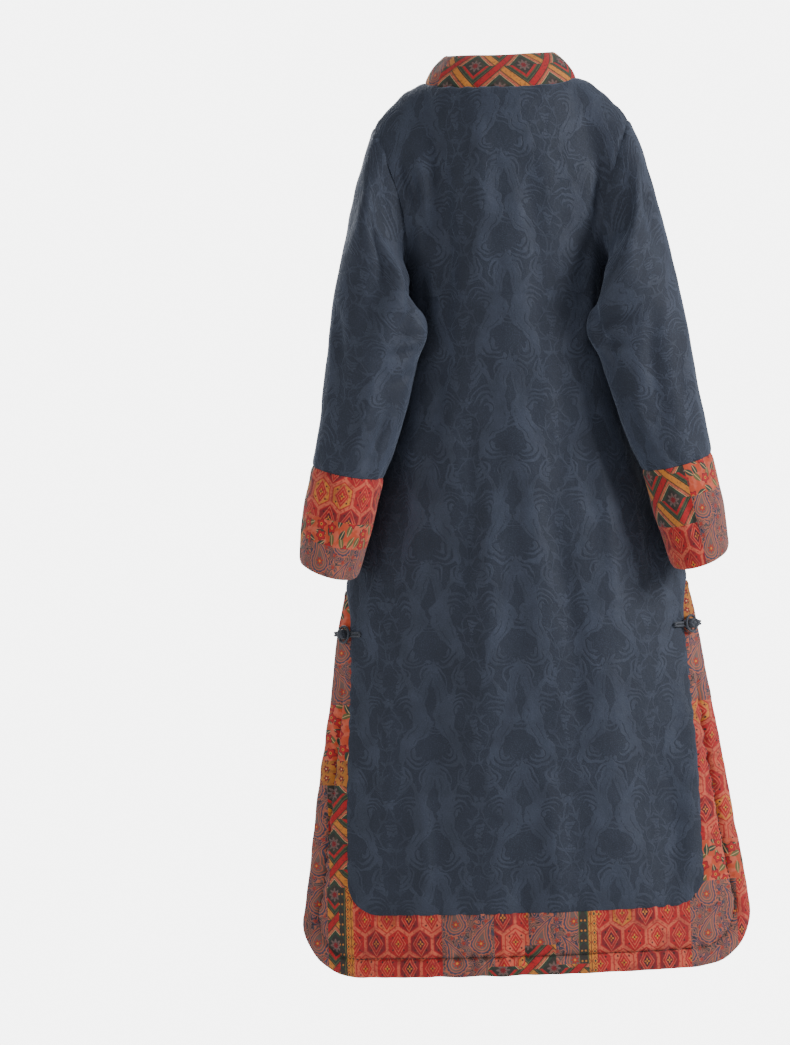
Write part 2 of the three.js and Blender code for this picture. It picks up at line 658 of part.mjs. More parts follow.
// Knot-and-loop fastenings. A bar is a strip made from the cloth's own points, moved out.
const barHalfWidth = 3.5;
const barClearance = 0.6;
const barThickness = 3;
const frontKnot = { radius: 5.6, cord: 1.5, spare: 0.6 };
const sideKnot = { radius: 8, cord: 1.9, spare: 0.6 };

// A place on the cloth with its outward and upward directions. lift raises the strip there.
function place(x, z, face, lift = 0) {
  const step = 2;
  const along = faceAt(x + step, z, face).sub(faceAt(x - step, z, face));
  const up = faceAt(x, z + step, face).sub(faceAt(x, z - step, face)).normalize();
  const normal = up.clone().cross(along).normalize().multiplyScalar(face);
  return { point: faceAt(x, z, face), normal, up, lift };
}

// The cloth's face at any place near the centre front, found on the panel's own rows
function faceAt(x, z, face) {
  if (z <= armpitZ) return skirtPoint(x, z, face);
  let k = 0;
  const station = Math.abs(x) / armpitX;
  while (k < armholeRows - 1 && panelPoint(station, k + 1, face).z > z) k += 1;
  const upper = panelPoint(station, k, face);
  const lower = panelPoint(station, k + 1, face);
  const t = (upper.z - z) / (upper.z - lower.z);
  return new THREE.Vector3(x, mix(upper.y, lower.y, t), z);
}

function toManifold(geometry) {
  const bare = new THREE.BufferGeometry();
  bare.setAttribute('position', geometry.getAttribute('position'));
  if (geometry.index) bare.setIndex(geometry.index);
  const merged = mergeVertices(bare, 1e-3);
  const vertProperties = new Float32Array(merged.getAttribute('position').array);
  const triVerts = new Uint32Array(merged.index.array);
  return new wasm.Manifold(new wasm.Mesh({ numProp: 3, vertProperties, triVerts }));
}

function fromManifold(solid) {
  const mesh = solid.getMesh();
  const geometry = new THREE.BufferGeometry();
  geometry.setAttribute('position', new THREE.Float32BufferAttribute(mesh.vertProperties, 3));
  geometry.setIndex(Array.from(mesh.triVerts));
  return geometry;
}

// A strip over a row of places, standing off the cloth by the bar's clearance.
function barGeometry(places) {
  const line = (spot, off) => {
    const foot = spot.point.clone().addScaledVector(spot.normal, off + spot.lift);
    const narrow = foot.clone().addScaledVector(spot.normal, off > barClearance ? -0.35 * barThickness : 0);
    return [
      narrow.clone().addScaledVector(spot.up, barHalfWidth),
      foot,
      narrow.clone().addScaledVector(spot.up, -barHalfWidth),
    ];
  };
  const outer = places.map((spot) => line(spot, barClearance + barThickness));
  const inner = places.map((spot) => line(spot, barClearance));
  return wallGeometry(outer, inner, false);
}

function addFrog(name, size, knotBar, loopBar, knotPlace) {
  const { point, normal } = knotPlace;
  const ball = new THREE.SphereGeometry(size.radius, 12, 8);
  const ballCentre = point.clone().addScaledVector(normal, size.radius + barClearance);
  ball.translate(ballCentre.x, ballCentre.y, ballCentre.z);
  const knot = toManifold(ball).add(toManifold(barGeometry(knotBar)));
  addPiece(`${name}_knot`, fromManifold(knot), cord);
  const ring = new THREE.TorusGeometry(size.radius + size.spare + size.cord, size.cord, 6, 16);
  ring.applyQuaternion(new THREE.Quaternion().setFromUnitVectors(new THREE.Vector3(0, 0, 1), normal));
  const ringHeight = barClearance + barThickness + seamGap + size.cord;
  const ringCentre = point.clone().addScaledVector(normal, ringHeight);
  ring.translate(ringCentre.x, ringCentre.y, ringCentre.z);
  const loop = toManifold(ring).add(toManifold(barGeometry(loopBar)));
  addPiece(`${name}_loop`, fromManifold(loop), cord);
}

// At the top of each side slit: the knot's bar lies on the back, and the loop's comes round from the front.
function addSideFrogs() {
  for (const [name, side] of [['left', 1], ['right', -1]]) {
    const at = (x, face, lift = 0) => place(side * x, sideFrogZ, face, lift);
    const knotBar = [219, 211, 202, 193].map((x) => at(x, 1));
    const roundTheEdge = [at(228, 1, 3.4), at(233, 1, 4), at(233, -1, 3.4), at(228, -1, 1)];
    const loopBar = [...roundTheEdge, at(220, -1), at(210, -1)];
    addFrog(`${name}_side_frog`, sideKnot, knotBar, loopBar, at(sideFrogX, 1));
  }
}

function addFrontFrogs() {
  for (let i = 0; i < frontFrogCount; i += 1) {
    const z = frontFrogTopZ - i * frontFrogStep;
    const knotBar = [3, 14, 26, 38].map((x) => place(x, z, -1));
    const loopBar = [[-7, 2.6], [-13, 1.2], [-20, 0], [-29, 0], [-38, 0]]
      .map(([x, lift]) => place(x, z, -1, lift));
    addFrog(`front_frog_${i + 1}`, frontKnot, knotBar, loopBar, place(0, z, -1));
  }
}

coat.name = 'patchwork_long_coat';
addBackPanel();
addFronts();
addSleeves();
addCollar();
addBands();
addFrontFrogs();
addSideFrogs();

export default coat;
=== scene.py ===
import math
from functools import lru_cache, partialmethod
import bmesh
import bpy
from mathutils import Matrix, Vector, noise


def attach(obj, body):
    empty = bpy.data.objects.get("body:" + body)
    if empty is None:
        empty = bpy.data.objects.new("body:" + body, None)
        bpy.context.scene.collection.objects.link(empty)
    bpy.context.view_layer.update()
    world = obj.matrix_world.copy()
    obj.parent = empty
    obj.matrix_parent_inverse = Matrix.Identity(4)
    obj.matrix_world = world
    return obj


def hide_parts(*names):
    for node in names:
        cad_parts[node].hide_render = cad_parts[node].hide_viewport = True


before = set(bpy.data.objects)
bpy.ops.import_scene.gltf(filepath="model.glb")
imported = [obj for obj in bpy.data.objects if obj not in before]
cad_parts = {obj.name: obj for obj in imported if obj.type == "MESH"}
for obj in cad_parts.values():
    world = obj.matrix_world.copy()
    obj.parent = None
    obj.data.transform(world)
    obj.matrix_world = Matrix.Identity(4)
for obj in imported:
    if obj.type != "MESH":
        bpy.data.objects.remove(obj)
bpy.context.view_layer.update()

# Sizes of the coat, in millimetres. The origin is at the neck, the front faces -Y, the wearer's left is +X.
mm, mmPerMetre = 0.001, 1000
wallThickness = 3
seamGap = 0.3
joinGap = 1.4 * seamGap   # where the collar and the sleeves meet the body
neckHalfWidth, neckSideY, neckSideZ = 97, 8, 8
backNeckDrop, frontNeckDrop = 17, 83
backNeckReach, frontNeckReach = 70, 85
neckRoundOver, chestRoundOver, neckBlend = 70, 170, 140
shoulderX, shoulderY, shoulderZ = 165, 20, -50
armpitX, armpitY, armpitZ = 152, -10, -275
armholeBow, backArmholeReach, frontArmholeReach = 28, 68, 62
bandStartZ, navyBottomZ, hemZ = -645, -1070, -1150
navyCornerRadius, hemCornerRadius = 43, 72
slitTopZ, slitHalfGapAtHem = -708, 14


def rowsOf(names, *lines):
    return [dict(zip(names.split(), line)) for line in lines]


bodyLevels = rowsOf(
    "z halfWidth back front turn sideY",
    (10, 185, 92, 92, 62, 10),
    (-60, 184, 99, 101, 62, 5),
    (-150, 170, 106, 118, 66, -4),
    (-275, 152, 103, 126, 76, -10),
    (-340, 161, 98, 121, 78, -10),
    (-450, 180, 95, 111, 77, -10),
    (-550, 203, 97, 109, 76, -9),
    (-645, 225, 98, 107, 74, -8),
    (-800, 250, 92, 100, 66, -6),
    (-950, 273, 82, 90, 58, -4),
    (-1150, 303, 68, 76, 52, -2),
)
navyLevels = rowsOf("z halfWidth", (-645, 225), (-682, 219), (-722, 218), (-800, 222), (-930, 229),
                    (-1070, 232))
bodyFolds = rowsOf(
    "face topX bottomX topZ bottomZ spread out",
    ("back", 88, 112, -30, -640, 19, -7),
    ("back", 112, 126, -80, -330, 15, 4),
    ("back", -104, -92, -25, -420, 18, -8),
    ("back", -76, -58, -40, -700, 17, -4),
    ("back", 92, 124, -640, -1120, 24, -6),
    ("back", 34, 58, -480, -1100, 30, 5),
    ("back", -168, -186, -830, -1130, 24, -6),
    ("back", -110, -128, -560, -1130, 30, 4),
    ("front", 96, 118, -150, -620, 24, -6),
    ("front", -92, -106, -140, -560, 24, -7),
    ("front", 120, 150, -620, -1130, 26, -6),
    ("front", -64, -86, -560, -1130, 28, -5),
    ("front", -150, -176, -700, -1130, 26, 5),
)
sleeveRings = rowsOf(
    "outerX outerY outerZ innerX innerY innerZ depth droop",
    (178, 24, -82, 148, 8, -283, 70, 0),
    (190, 32, -122, 139, 30, -291, 69, 0),
    (201, 40, -167, 128, 47, -299, 66, 0),
    (211, 47, -212, 119, 58, -311, 61, 0),
    (221, 53, -262, 115, 63, -332, 56, 2),
    (232, 57, -330, 119, 64, -363, 52, 4),
    (242, 58, -396, 133, 62, -418, 50, 5),
    (250, 57, -443, 148, 60, -464, 49, 6),
    (258, 55, -486, 165, 57, -506, 48, 8),
    (266, 52, -530, 178, 54, -549, 47, 9),
    (273, 49, -572, 191, 51, -592, 46, 11),
    (277, 46, -608, 202, 48, -630, 46, 13),
)
cuffSeamRing = 9   # rings are counted from the armhole, which is 0

# Smaller creases, as lines on the cloth. across and down are millimetres from the centre line and the neck;
# out is outward (+) or inward (-) at the deepest place.
backCreases = rowsOf(
    "across1 down1 across2 down2 spread out",
    (90, -30, 104, -470, 13, -3),
    (108, -84, 111, -236, 9, 3),
    (-109, -30, -113, -250, 13, -3),
    (-113, -235, -156, -465, 13, -3),
    (-150, -440, -196, -640, 13, -3),
    (50, -500, 60, -864, 18, 2.4),
    (-186, -880, -184, -1080, 14, -2.6),
    (132, -92, 96, -262, 7, -2.6),
    (118, -150, 92, -330, 9, 2.2),
    (104, -268, 140, -352, 8, -2.4),
    (126, -300, 88, -372, 10, 2),
    (-128, -96, -96, -240, 8, -3),
    (-112, -190, -86, -380, 10, 2.4),
    (-132, -286, -96, -356, 8, -2.2),
    (34, -30, 52, -300, 15, 2.4),
    (-22, -60, -30, -420, 18, -2.2),
    (8, -360, -14, -820, 20, 2.4),
    (58, -420, 80, -760, 13, -2.6),
    (-36, -520, -66, -900, 14, -2.6),
    (-96, -430, -120, -700, 11, 2.2),
    (150, -470, 172, -700, 12, -3),
    (-160, -520, -176, -690, 11, -2.8),
    (178, -760, 196, -1040, 13, 2.6),
    (-20, -860, -34, -1130, 15, 2.8),
    (136, -880, 148, -1140, 12, 2.4),
    (-206, -770, -212, -1000, 11, 2.2),
    (20, -990, 8, -1140, 12, -2.2),
)
frontCreases = rowsOf(
    "across1 down1 across2 down2 spread out",
    (126, -100, 92, -270, 8, -2.8),
    (104, -270, 138, -350, 8, -2.4),
    (-122, -104, -90, -250, 8, -2.6),
    (-106, -262, -140, -360, 8, -2.6),
    (52, -180, 66, -560, 15, 2.4),
    (-44, -200, -58, -540, 13, 2.2),
    (30, -560, 46, -1040, 16, -2.4),
    (-28, -640, -34, -1110, 15, 2.4),
    (92, -540, 104, -860, 12, 2.4),
    (172, -520, 190, -820, 12, -2.8),
    (-120, -480, -148, -840, 13, -2.8),
    (200, -860, 214, -1120, 12, 2.2),
    (-208, -820, -222, -1120, 12, -2.2),
    (74, -930, 78, -1140, 11, 2.2),
)
# On a sleeve, across is the distance round from its outer line towards the back, down is along it.
leftSleeveCreases = rowsOf(
    "across1 down1 across2 down2 spread out",
    (140, 90, 130, 285, 24, 6),
    (70, 60, 58, 290, 11, -5),
    (96, 20, 110, 190, 9, -3.4),
    (52, 10, 36, 170, 11, 2.6),
    (122, 150, 96, 250, 8, -3.2),
    (130, 205, 86, 268, 7, -3),
    (132, 250, 84, 300, 7, -2.6),
    (138, 300, 100, 330, 6, -2.2),
    (20, 230, 44, 400, 11, -2.8),
    (84, 310, 70, 450, 9, 2.6),
    (112, 350, 96, 450, 8, -2.8),
    (-40, 60, -62, 300, 12, -3.6),
    (-96, 120, -70, 250, 9, -3),
    (-120, 220, -84, 290, 8, -2.8),
    (-30, 320, -52, 450, 10, 2.4),
    (60, 470, 66, 560, 10, -2),
    (-60, 468, -52, 560, 10, -2),
)
rightSleeveCreases = rowsOf(
    "across1 down1 across2 down2 spread out",
    (142, 100, 132, 300, 24, 6),
    (96, 8, 132, 130, 9, -4.4),
    (58, 20, 78, 210, 11, 2.8),
    (40, 40, 30, 210, 10, -2.8),
    (132, 130, 112, 330, 9, -4.4),
    (128, 190, 74, 250, 8, -3),
    (134, 240, 86, 290, 7, -2.8),
    (60, 240, 76, 420, 11, -3.2),
    (100, 330, 92, 460, 8, 2.4),
    (18, 260, 28, 440, 10, 2.2),
    (-44, 50, -58, 260, 12, -3.4),
    (-100, 130, -72, 270, 9, -3),
    (-124, 250, -88, 320, 8, -2.6),
    (-24, 310, -46, 450, 10, -2.4),
    (78, 470, 72, 560, 9, -2.2),
    (-48, 470, -58, 560, 10, 2),
)


# Small helpers
def mix(a, b, t):
    return a + (b - a) * t


def clamp(t):
    return min(1.0, max(0.0, t))


def smooth(t):
    t = clamp(t)
    return t * t * (3 - 2 * t)


def bell(distance, spread):
    # 1 in the middle, falling away on both sides
    return math.exp(-(distance / spread) ** 2)


levelTables = {"body": bodyLevels, "navy": navyLevels}


@lru_cache(maxsize=None)
def levelAt(tableName, column, z):
    table = levelTables[tableName]
    last = len(table) - 1
    i = 0
    while i < last - 1 and z < table[i + 1]["z"]:
        i += 1

    def slope(a, b):
        return (table[b][column] - table[a][column]) / (table[b]["z"] - table[a]["z"])

    span = table[i + 1]["z"] - table[i]["z"]
    t = clamp((z - table[i]["z"]) / span)
    startSlope = slope(max(0, i - 1), i + 1) * span
    endSlope = slope(i, min(last, i + 2)) * span
    start, end = table[i][column], table[i + 1][column]
    square, cube = t * t, t * t * t
    return (start * (2 * cube - 3 * square + 1) + startSlope * (cube - 2 * square + t)
            + end * (3 * square - 2 * cube) + endSlope * (cube - square))


def bodyWidth(z):
    return levelAt("body", "halfWidth", z)


def navyWidth(z):
    return levelAt("navy", "halfWidth", z)


# The body form: the same formulas as the CAD walls, evaluated on a finer grid. face is 1 behind, -1 in front.
neckStation = neckHalfWidth / shoulderX
cornerStation = 1 - navyCornerRadius / navyWidth(navyBottomZ)


def navyLowerEdge(station):
    reach = clamp((station - cornerStation) / (1 - cornerStation))
    return navyBottomZ + navyCornerRadius * (1 - math.sqrt(1 - reach * reach))


def armholePoint(angle, face):
    up, side = math.cos(angle), math.sin(angle)
    reach = backArmholeReach if face > 0 else frontArmholeReach
    bow = armholeBow * side * side * (1 - 0.5 * up)
    return Vector((
        (shoulderX + armpitX) / 2 + up * (shoulderX - armpitX) / 2 - bow,
        (shoulderY + armpitY) / 2 + up * (shoulderY - armpitY) / 2 + face * side * reach,
        (shoulderZ + armpitZ) / 2 + up * (shoulderZ - armpitZ) / 2,
    ))


def neckForm(face):
    return (backNeckReach, backNeckDrop) if face > 0 else (-frontNeckReach, frontNeckDrop)


def topPoint(station, face):
    x = station * shoulderX
    if station <= neckStation + 1e-6:
        across = min(1, x / neckHalfWidth)
        along = math.sqrt(1 - across * across)
        reach, drop = neckForm(face)
        return Vector((x, neckSideY + reach * along, neckSideZ - drop * along))
    t = (x - neckHalfWidth) / (shoulderX - neckHalfWidth)
    return Vector((x, mix(neckSideY, shoulderY, t), mix(neckSideZ, shoulderZ, t ** 1.5)))


def fullness(fraction, turn):
    sine = min(1.0, abs(fraction)) * math.sin(turn)
    return (math.sqrt(1 - sine * sine) - math.cos(turn)) / (1 - math.cos(turn))


def foldAt(x, z, face, fraction):
    total = 0
    for fold in bodyFolds:
        if (fold["face"] == "back") != (face > 0):
            continue
        t = (fold["topZ"] - z) / (fold["topZ"] - fold["bottomZ"])
        if 0 < t < 1:
            away = (x - mix(fold["topX"], fold["bottomX"], t)) / fold["spread"]
            total += fold["out"] * math.exp(-away * away) * math.sin(math.pi * t ** 0.8)
    return total * (1 - min(1.0, abs(fraction)) ** 6)


def sectionY(x, z, face):
    turn = math.radians(levelAt("body", "turn", z))
    depth = face * levelAt("body", "back" if face > 0 else "front", z)
    return mix(levelAt("body", "sideY", z), depth, fullness(x / bodyWidth(z), turn))


def slitHalfGap(z):
    return seamGap / 2 + slitHalfGapAtHem * smooth((slitTopZ - z) / (slitTopZ - hemZ))


def skirtPoint(x, z, face):
    outward = slitHalfGap(z) + foldAt(x, z, face, x / bodyWidth(z))
    return Vector((x, sectionY(x, z, face) + face * outward, z))


def yokeStart(station, face, top, faded):
    reach, drop = neckForm(face)
    out = smooth(station)
    startY = mix(top.y, mix(neckSideY + reach, shoulderY, out), faded)
    return startY, mix(top.z, mix(neckSideZ - drop, shoulderZ, out), faded)


def yokePoint(station, angle, face, side):
    edge = armholePoint(angle, face)
    top = topPoint(station, face)
    x = station * edge.x
    z = mix(top.z, armpitZ, (shoulderZ - edge.z) / (shoulderZ - armpitZ))
    outOnShoulder = smooth((station - neckStation) / (1 - neckStation))
    startY, startZ = yokeStart(station, face, top, smooth((top.z - z) / neckBlend))
    roundOver = mix(neckRoundOver, (shoulderZ - armpitZ) / 2, smooth(station / neckStation))
    rise = 1 - clamp((startZ - z) / roundOver)
    cap = math.sqrt(1 - rise * rise)
    if face < 0:
        cap = mix(math.sin(clamp((startZ - z) / chestRoundOver) * math.pi / 2), cap, outOnShoulder)
    edgeY = armholePoint(math.pi / 2, face).y if angle < math.pi / 2 else edge.y
    full = sectionY(x, z, face) + (edgeY - sectionY(edge.x, z, face)) * station ** 4
    full += face * foldAt(side * x, z, face, station)
    y = mix(mix(startY, full, cap), edge.y, station ** 12)
    return Vector((side * x, y + face * seamGap / 2, z))


def panelPoint(station, fall, face):
    # fall is 0 at the shoulder, 1 at the armpit and 2 at the navy cloth's lower edge
    side = -1 if station < 0 else 1
    size = abs(station)
    if fall <= 1:
        return yokePoint(size, math.pi * fall, face, side)
    z = mix(armpitZ, navyLowerEdge(size), fall - 1)
    wide = bodyWidth(z) if z > bandStartZ else navyWidth(z)
    return skirtPoint(station * wide, z, face)


# Surface detail, all in millimetres outwards
crease = {"strength": 2.3, "bow": 0.05, "cutOff": 3}
swell = {"slow": 2.4, "slowAcross": 62, "slowDown": 95, "quick": 1.1, "quickAcross": 21, "quickDown": 30,
         "shift": 9}
pucker = {"reach": 30, "depth": 1.7, "width": 3.6, "height": 1.1, "fade": 13}
seamRipple, quiltRipple = rowsOf("wave drift driftLength steady beat start", (3.6, 2.4, 31, 0.6, 47, 0),
                                 (3.3, 2.1, 29, 0.55, 53, 1))
edgeRoll, endRoll = 2.6, 3   # how far the rounding of a turned edge reaches, and of a front opening's edge
sharpAngle = 55   # degrees between faces, past which an edge shows


def creaseDepth(creases, across, down):
    total = 0
    for row in creases:
        a1, d1 = row["across1"], row["down1"]
        alongA, alongD = row["across2"] - a1, row["down2"] - d1
        length = math.hypot(alongA, alongD)
        t = ((across - a1) * alongA + (down - d1) * alongD) / (length * length)
        if 0 < t < 1:
            away = ((across - a1) * alongD - (down - d1) * alongA) / length
            away = (away - crease["bow"] * length * math.sin(math.pi * t)) / row["spread"]
            if abs(away) < crease["cutOff"]:
                swelling = math.sin(math.pi * t ** 0.8)
                total += crease["strength"] * row["out"] * math.exp(-away * away) * swelling
    return total


def undulation(point, strength=1.0):
    wide, quick, shift = swell["slowAcross"], swell["quickAcross"], swell["shift"]
    slowly = noise.noise(Vector((point.x / wide, point.y / wide, point.z / swell["slowDown"])))
    quickly = noise.noise(Vector((point.x / quick, point.y / quick + shift, point.z / swell["quickDown"])))
    return strength * (swell["slow"] * slowly + swell["quick"] * quickly)


def ripple(along, row):
    # short waves along a seam, which drift and come and go
    wave = math.sin(along / row["wave"] + row["drift"] * math.sin(along / row["driftLength"]))
    return wave * (row["steady"] + (1 - row["steady"]) * math.sin(along / row["beat"] + row["start"]))


def seamPull(distance, along, depth=pucker["depth"]):
    # the cloth turns in at a seam, with short ripples beside it
    if distance > pucker["reach"]:
        return 0
    waves = pucker["height"] * ripple(along, seamRipple) * bell(distance, pucker["fade"])
    return waves - depth * bell(distance, pucker["width"])


def gridNormals(points, wraps):
    rows, columns = len(points), len(points[0])
    normals = []
    for i in range(rows):
        line = []
        for j in range(columns):
            above, below = points[max(0, i - 1)][j], points[min(rows - 1, i + 1)][j]
            before = points[i][(j - 1) % columns if wraps else max(0, j - 1)]
            after = points[i][(j + 1) % columns if wraps else min(columns - 1, j + 1)]
            line.append((below - above).cross(after - before).normalized())
        normals.append(line)
    return normals


def movedOut(points, sign, depthAt, wraps=False):
    # every point moved along its own outward direction by depthAt(i, j, point)
    normals = gridNormals(points, wraps)
    return [[point + normals[i][j] * sign * depthAt(i, j, point) for j, point in enumerate(line)]
            for i, line in enumerate(points)]


def placed(name, data):
    thing = bpy.data.objects.new(name, data)
    bpy.context.scene.collection.objects.link(thing)
    return thing


def plainMesh(piece):
    # the modifiers' result becomes the piece's own mesh, and the modifiers go
    evaluated = piece.evaluated_get(bpy.context.evaluated_depsgraph_get())
    mesh = bpy.data.meshes.new_from_object(evaluated)
    piece.modifiers.clear()
    old = piece.data
    piece.data = mesh
    bpy.data.meshes.remove(old)
    mesh.name = piece.name
    mesh.shade_smooth()
    return mesh


def gridMesh(name, points, cut, sign, materials, wraps=False):
    # cut holds the flat pattern's place of each point, in millimetres, with one more column on a tube
    rows, columns = len(points), len(points[0])
    mesh = bpy.data.meshes.new(name)
    faces, uvs = [], []
    for i in range(rows - 1):
        for j in range(columns if wraps else columns - 1):
            k = (j + 1) % columns
            corners = [(i, j, j), (i + 1, j, j), (i + 1, k, j + 1), (i, k, j + 1)]
            if sign < 0:
                corners.reverse()
            faces.append([row * columns + column for row, column, _ in corners])
            uvs += [cut[row][uvColumn] for row, _, uvColumn in corners]
    mesh.from_pydata([tuple(point * mm) for line in points for point in line], [], faces)
    layer = mesh.uv_layers.new(name="cut")
    for corner, place in zip(layer.data, uvs):
        corner.uv = (place[0] * mm, place[1] * mm)
    mesh.validate()
    for material in materials:
        mesh.materials.append(material)
    return placed(name, mesh)


def thickened(piece):
    # a wall of cloth inwards from the outer face, with the inside's own material
    piece.data.materials.append(inside)
    solidify = piece.modifiers.new("wall", "SOLIDIFY")
    solidify.thickness = wallThickness * mm
    solidify.offset = -1
    solidify.use_even_offset = False
    solidify.use_quality_normals = True
    solidify.material_offset = len(piece.data.materials) - 1
    plainMesh(piece).set_sharp_from_angle(angle=math.radians(sharpAngle))
    return piece


def flatFacts(piece):
    # size and area of the flat cut, from the pattern places, in metres
    layer = piece.data.uv_layers["cut"].data
    us = [corner.uv[0] for corner in layer]
    vs = [corner.uv[1] for corner in layer]
    area = sum(polygon.area for polygon in piece.data.polygons)
    width, length = max(us) - min(us), max(vs) - min(vs)
    return (width, length), min(area, width * length)


# Shader arithmetic: a wire carries one socket of a node tree, and Python's signs join the Math nodes
def feed(slot, value):
    if isinstance(value, Wire):
        slot.id_data.links.new(value.socket, slot)
    else:
        slot.default_value = value


class Wire:
    def __init__(self, socket):
        self.socket = socket
        self.tree = socket.id_data

    def math(self, kind, *others, clamped=False):
        node = self.tree.nodes.new("ShaderNodeMath")
        node.operation = kind
        node.use_clamp = clamped
        for slot, value in zip(node.inputs, (self, *others)):
            feed(slot, value)
        return Wire(node.outputs[0])

    def below(self, limit, soft=0.4):
        # 1 where the value is under the limit, with a soft edge
        if isinstance(limit, Wire):
            return (limit - self).math("MULTIPLY_ADD", 1 / soft, 0.5, clamped=True)
        return self.math("MULTIPLY_ADD", -1 / soft, limit / soft + 0.5, clamped=True)

    def above(self, limit, soft=0.4):
        return self.math("MULTIPLY_ADD", 1 / soft, 0.5 - limit / soft, clamped=True)

    def line(self, place, halfWidth, soft=0.4):
        return abs(self - place).below(halfWidth, soft)


mathNodes = {
    "__add__": "ADD", "__sub__": "SUBTRACT", "__mul__": "MULTIPLY", "__truediv__": "DIVIDE",
    "__abs__": "ABSOLUTE", "sin": "SINE", "cos": "COSINE", "floor": "FLOOR", "mod": "FLOORED_MODULO",
    "most": "MAXIMUM", "least": "MINIMUM", "root": "SQRT", "angleTo": "ARCTAN2",
}
for word, kind in mathNodes.items():
    setattr(Wire, word, partialmethod(Wire.math, kind))


def fromCentre(x, y):
    return (x * x + y * y).root()


def lobes(x, y, count):
    # a wave round the centre, with so many lobes
    return (y.angleTo(x) * count).cos()


def parted(socket, kind="SeparateXYZ"):
    # the three numbers of a place or a colour
    node = socket.id_data.nodes.new("ShaderNode" + kind)
    feed(node.inputs[0], Wire(socket))
    return [Wire(output) for output in node.outputs]


def texture(kind, u, v, **settings):
    # a flat texture at the place u, v
    node = u.tree.nodes.new("ShaderNodeTex" + kind)
    setattr(node, "voronoi_dimensions" if kind == "Voronoi" else "noise_dimensions", "2D")
    place = u.tree.nodes.new("ShaderNodeCombineXYZ")
    feed(place.inputs[0], u)
    feed(place.inputs[1], v)
    feed(node.inputs["Vector"], Wire(place.outputs[0]))
    for name, value in settings.items():
        feed(node.inputs[name], value)
    return node


def cloud(u, v, size, detail=2.0):
    return Wire(texture("Noise", u, v, Scale=1 / size, Detail=detail).outputs["Fac"])


def chance(u, v):
    return Wire(texture("WhiteNoise", u, v).outputs["Value"])


def scattered(u, v, size, offset):
    # local place, turned at random, round the nearest of a loose scatter of points
    shiftedU, shiftedV = u + offset, v + offset * 0.7
    node = texture("Voronoi", shiftedU, shiftedV, Scale=1 / size, Randomness=0.72)
    centreU, centreV, _ = parted(node.outputs["Position"])
    dx, dy = shiftedU - centreU, shiftedV - centreV
    turn, luck, _ = parted(node.outputs["Color"], "SeparateColor")
    turn = turn * (2 * math.pi)
    cosine, sine = turn.cos(), turn.sin()
    return dx * cosine + dy * sine, dy * cosine - dx * sine, luck


inkLevels = {
    # the darkest navy tone (20, 24, 34) is painted shade, in soft patches on the damask
    # the lighter navy tone (52, 60, 76) is painted glint, light specks on the damask's fine grain
    "navy": (32, 37, 48), "figure": (54, 61, 76), "navyPaintedGlint": (52, 60, 76), "navyPaintedShade": (20, 24, 34),
    # the dark navy tone (22, 27, 38) is painted shade, broad and faint over large areas of the damask
    "navyPaintedBroadShade": (22, 27, 38), "lining": (30, 35, 47), "liningThread": (40, 47, 60), "cord": (17, 21, 31),
    # the tone (52, 34, 32) laid over every print makes it a little darker all over and more in soft cloudy
    # patches
    "cordThread": (34, 41, 55), "stitch": (26, 16, 17), "stitchFibre": (52, 34, 32), "printDarkening": (52, 34, 32),
    "red": (158, 18, 22), "crimson": (112, 14, 24), "plum": (58, 10, 30), "brick": (140, 42, 32),
    "salmon": (186, 84, 60), "gold": (184, 112, 38), "charcoal": (36, 36, 32), "umber": (50, 48, 36),
    "mauve": (94, 74, 70), "outline": (162, 84, 60), "slate": (54, 57, 74), "leaf": (30, 54, 42),
    "orange": (172, 62, 32), "cream": (188, 148, 104), "dark": (26, 20, 22), "olive": (84, 82, 44),
    "ochre": (164, 100, 36), "bronze": (140, 84, 34), "floor": (244, 244, 244),
}


def linear(level):
    # a screen level from 0 to 255 as an amount of light
    value = level / 255
    return value / 12.92 if value <= 0.04045 else ((value + 0.055) / 1.055) ** 2.4


inks = {name: (*map(linear, levels), 1) for name, levels in inkLevels.items()}


def printed(ground, *layers):
    # each layer is a mask and the ink that it lays over what is there
    colour = inks[ground] if isinstance(ground, str) else ground
    for mask, ink in layers:
        node = mask.tree.nodes.new("ShaderNodeMix")
        node.data_type = "RGBA"
        feed(node.inputs[0], mask)
        feed(node.inputs[6], colour)
        feed(node.inputs[7], inks[ink])
        colour = Wire(node.outputs[2])
    return colour


# Printed and woven patterns. Each takes the flat cut's place in millimetres. A print gives its colour,
# the damask and the lining give their surface and their height.
damaskRepeat = {"half": 58, "tall": 130, "leafStep": 18.571}
damaskSprays = rowsOf(
    "centreX centreY inner outer strands start sweep",
    (24, 36, 3, 27, 4, 5.4, 3.7),
    (40, -18, 4, 24, 3, 2.2, 3.5),
    (12, -46, 3, 19, 3, 4.6, 3.4),
    (56, 30, 3, 24, 4, 1.9, 3.6),
    (4, 8, 2, 15, 3, 1.4, 3.4),
    (52, -52, 3, 20, 3, 0.2, 3.6),
)
damaskFlowers = rowsOf("centreX centreY radius petals", (0, 47, 9, 6), (58, -34, 10, 5), (25, 2, 6, 5),
                       (0, -8, 6, 5))


def plume(x, y, spray):
    # nested curling strokes that thin out to their tips
    dx, dy = x - spray["centreX"], y - spray["centreY"]
    inner, strands = spray["inner"], spray["strands"]
    share = (dy.angleTo(dx) - spray["start"]).mod(2 * math.pi) / spray["sweep"]
    lane = (fromCentre(dx, dy) - inner) * (strands / (spray["outer"] - inner)) + share * 0.7
    stroke = abs(lane.mod(1) - 0.5).below((share * share * -1 + 1) * 0.36 + 0.02, 0.1)
    return stroke * lane.above(0, 0.05) * lane.below(strands, 0.05) * share.below(1, 0.02)


def damaskFlower(x, y, flower):
    dx, dy = x - flower["centreX"], y - flower["centreY"]
    r, radius = fromCentre(dx, dy), flower["radius"]
    petal = lobes(dx, dy, flower["petals"]) * (0.24 * radius) + 0.76 * radius
    return r.below(petal, 0.8) - r.line(0.42 * radius, 0.7)


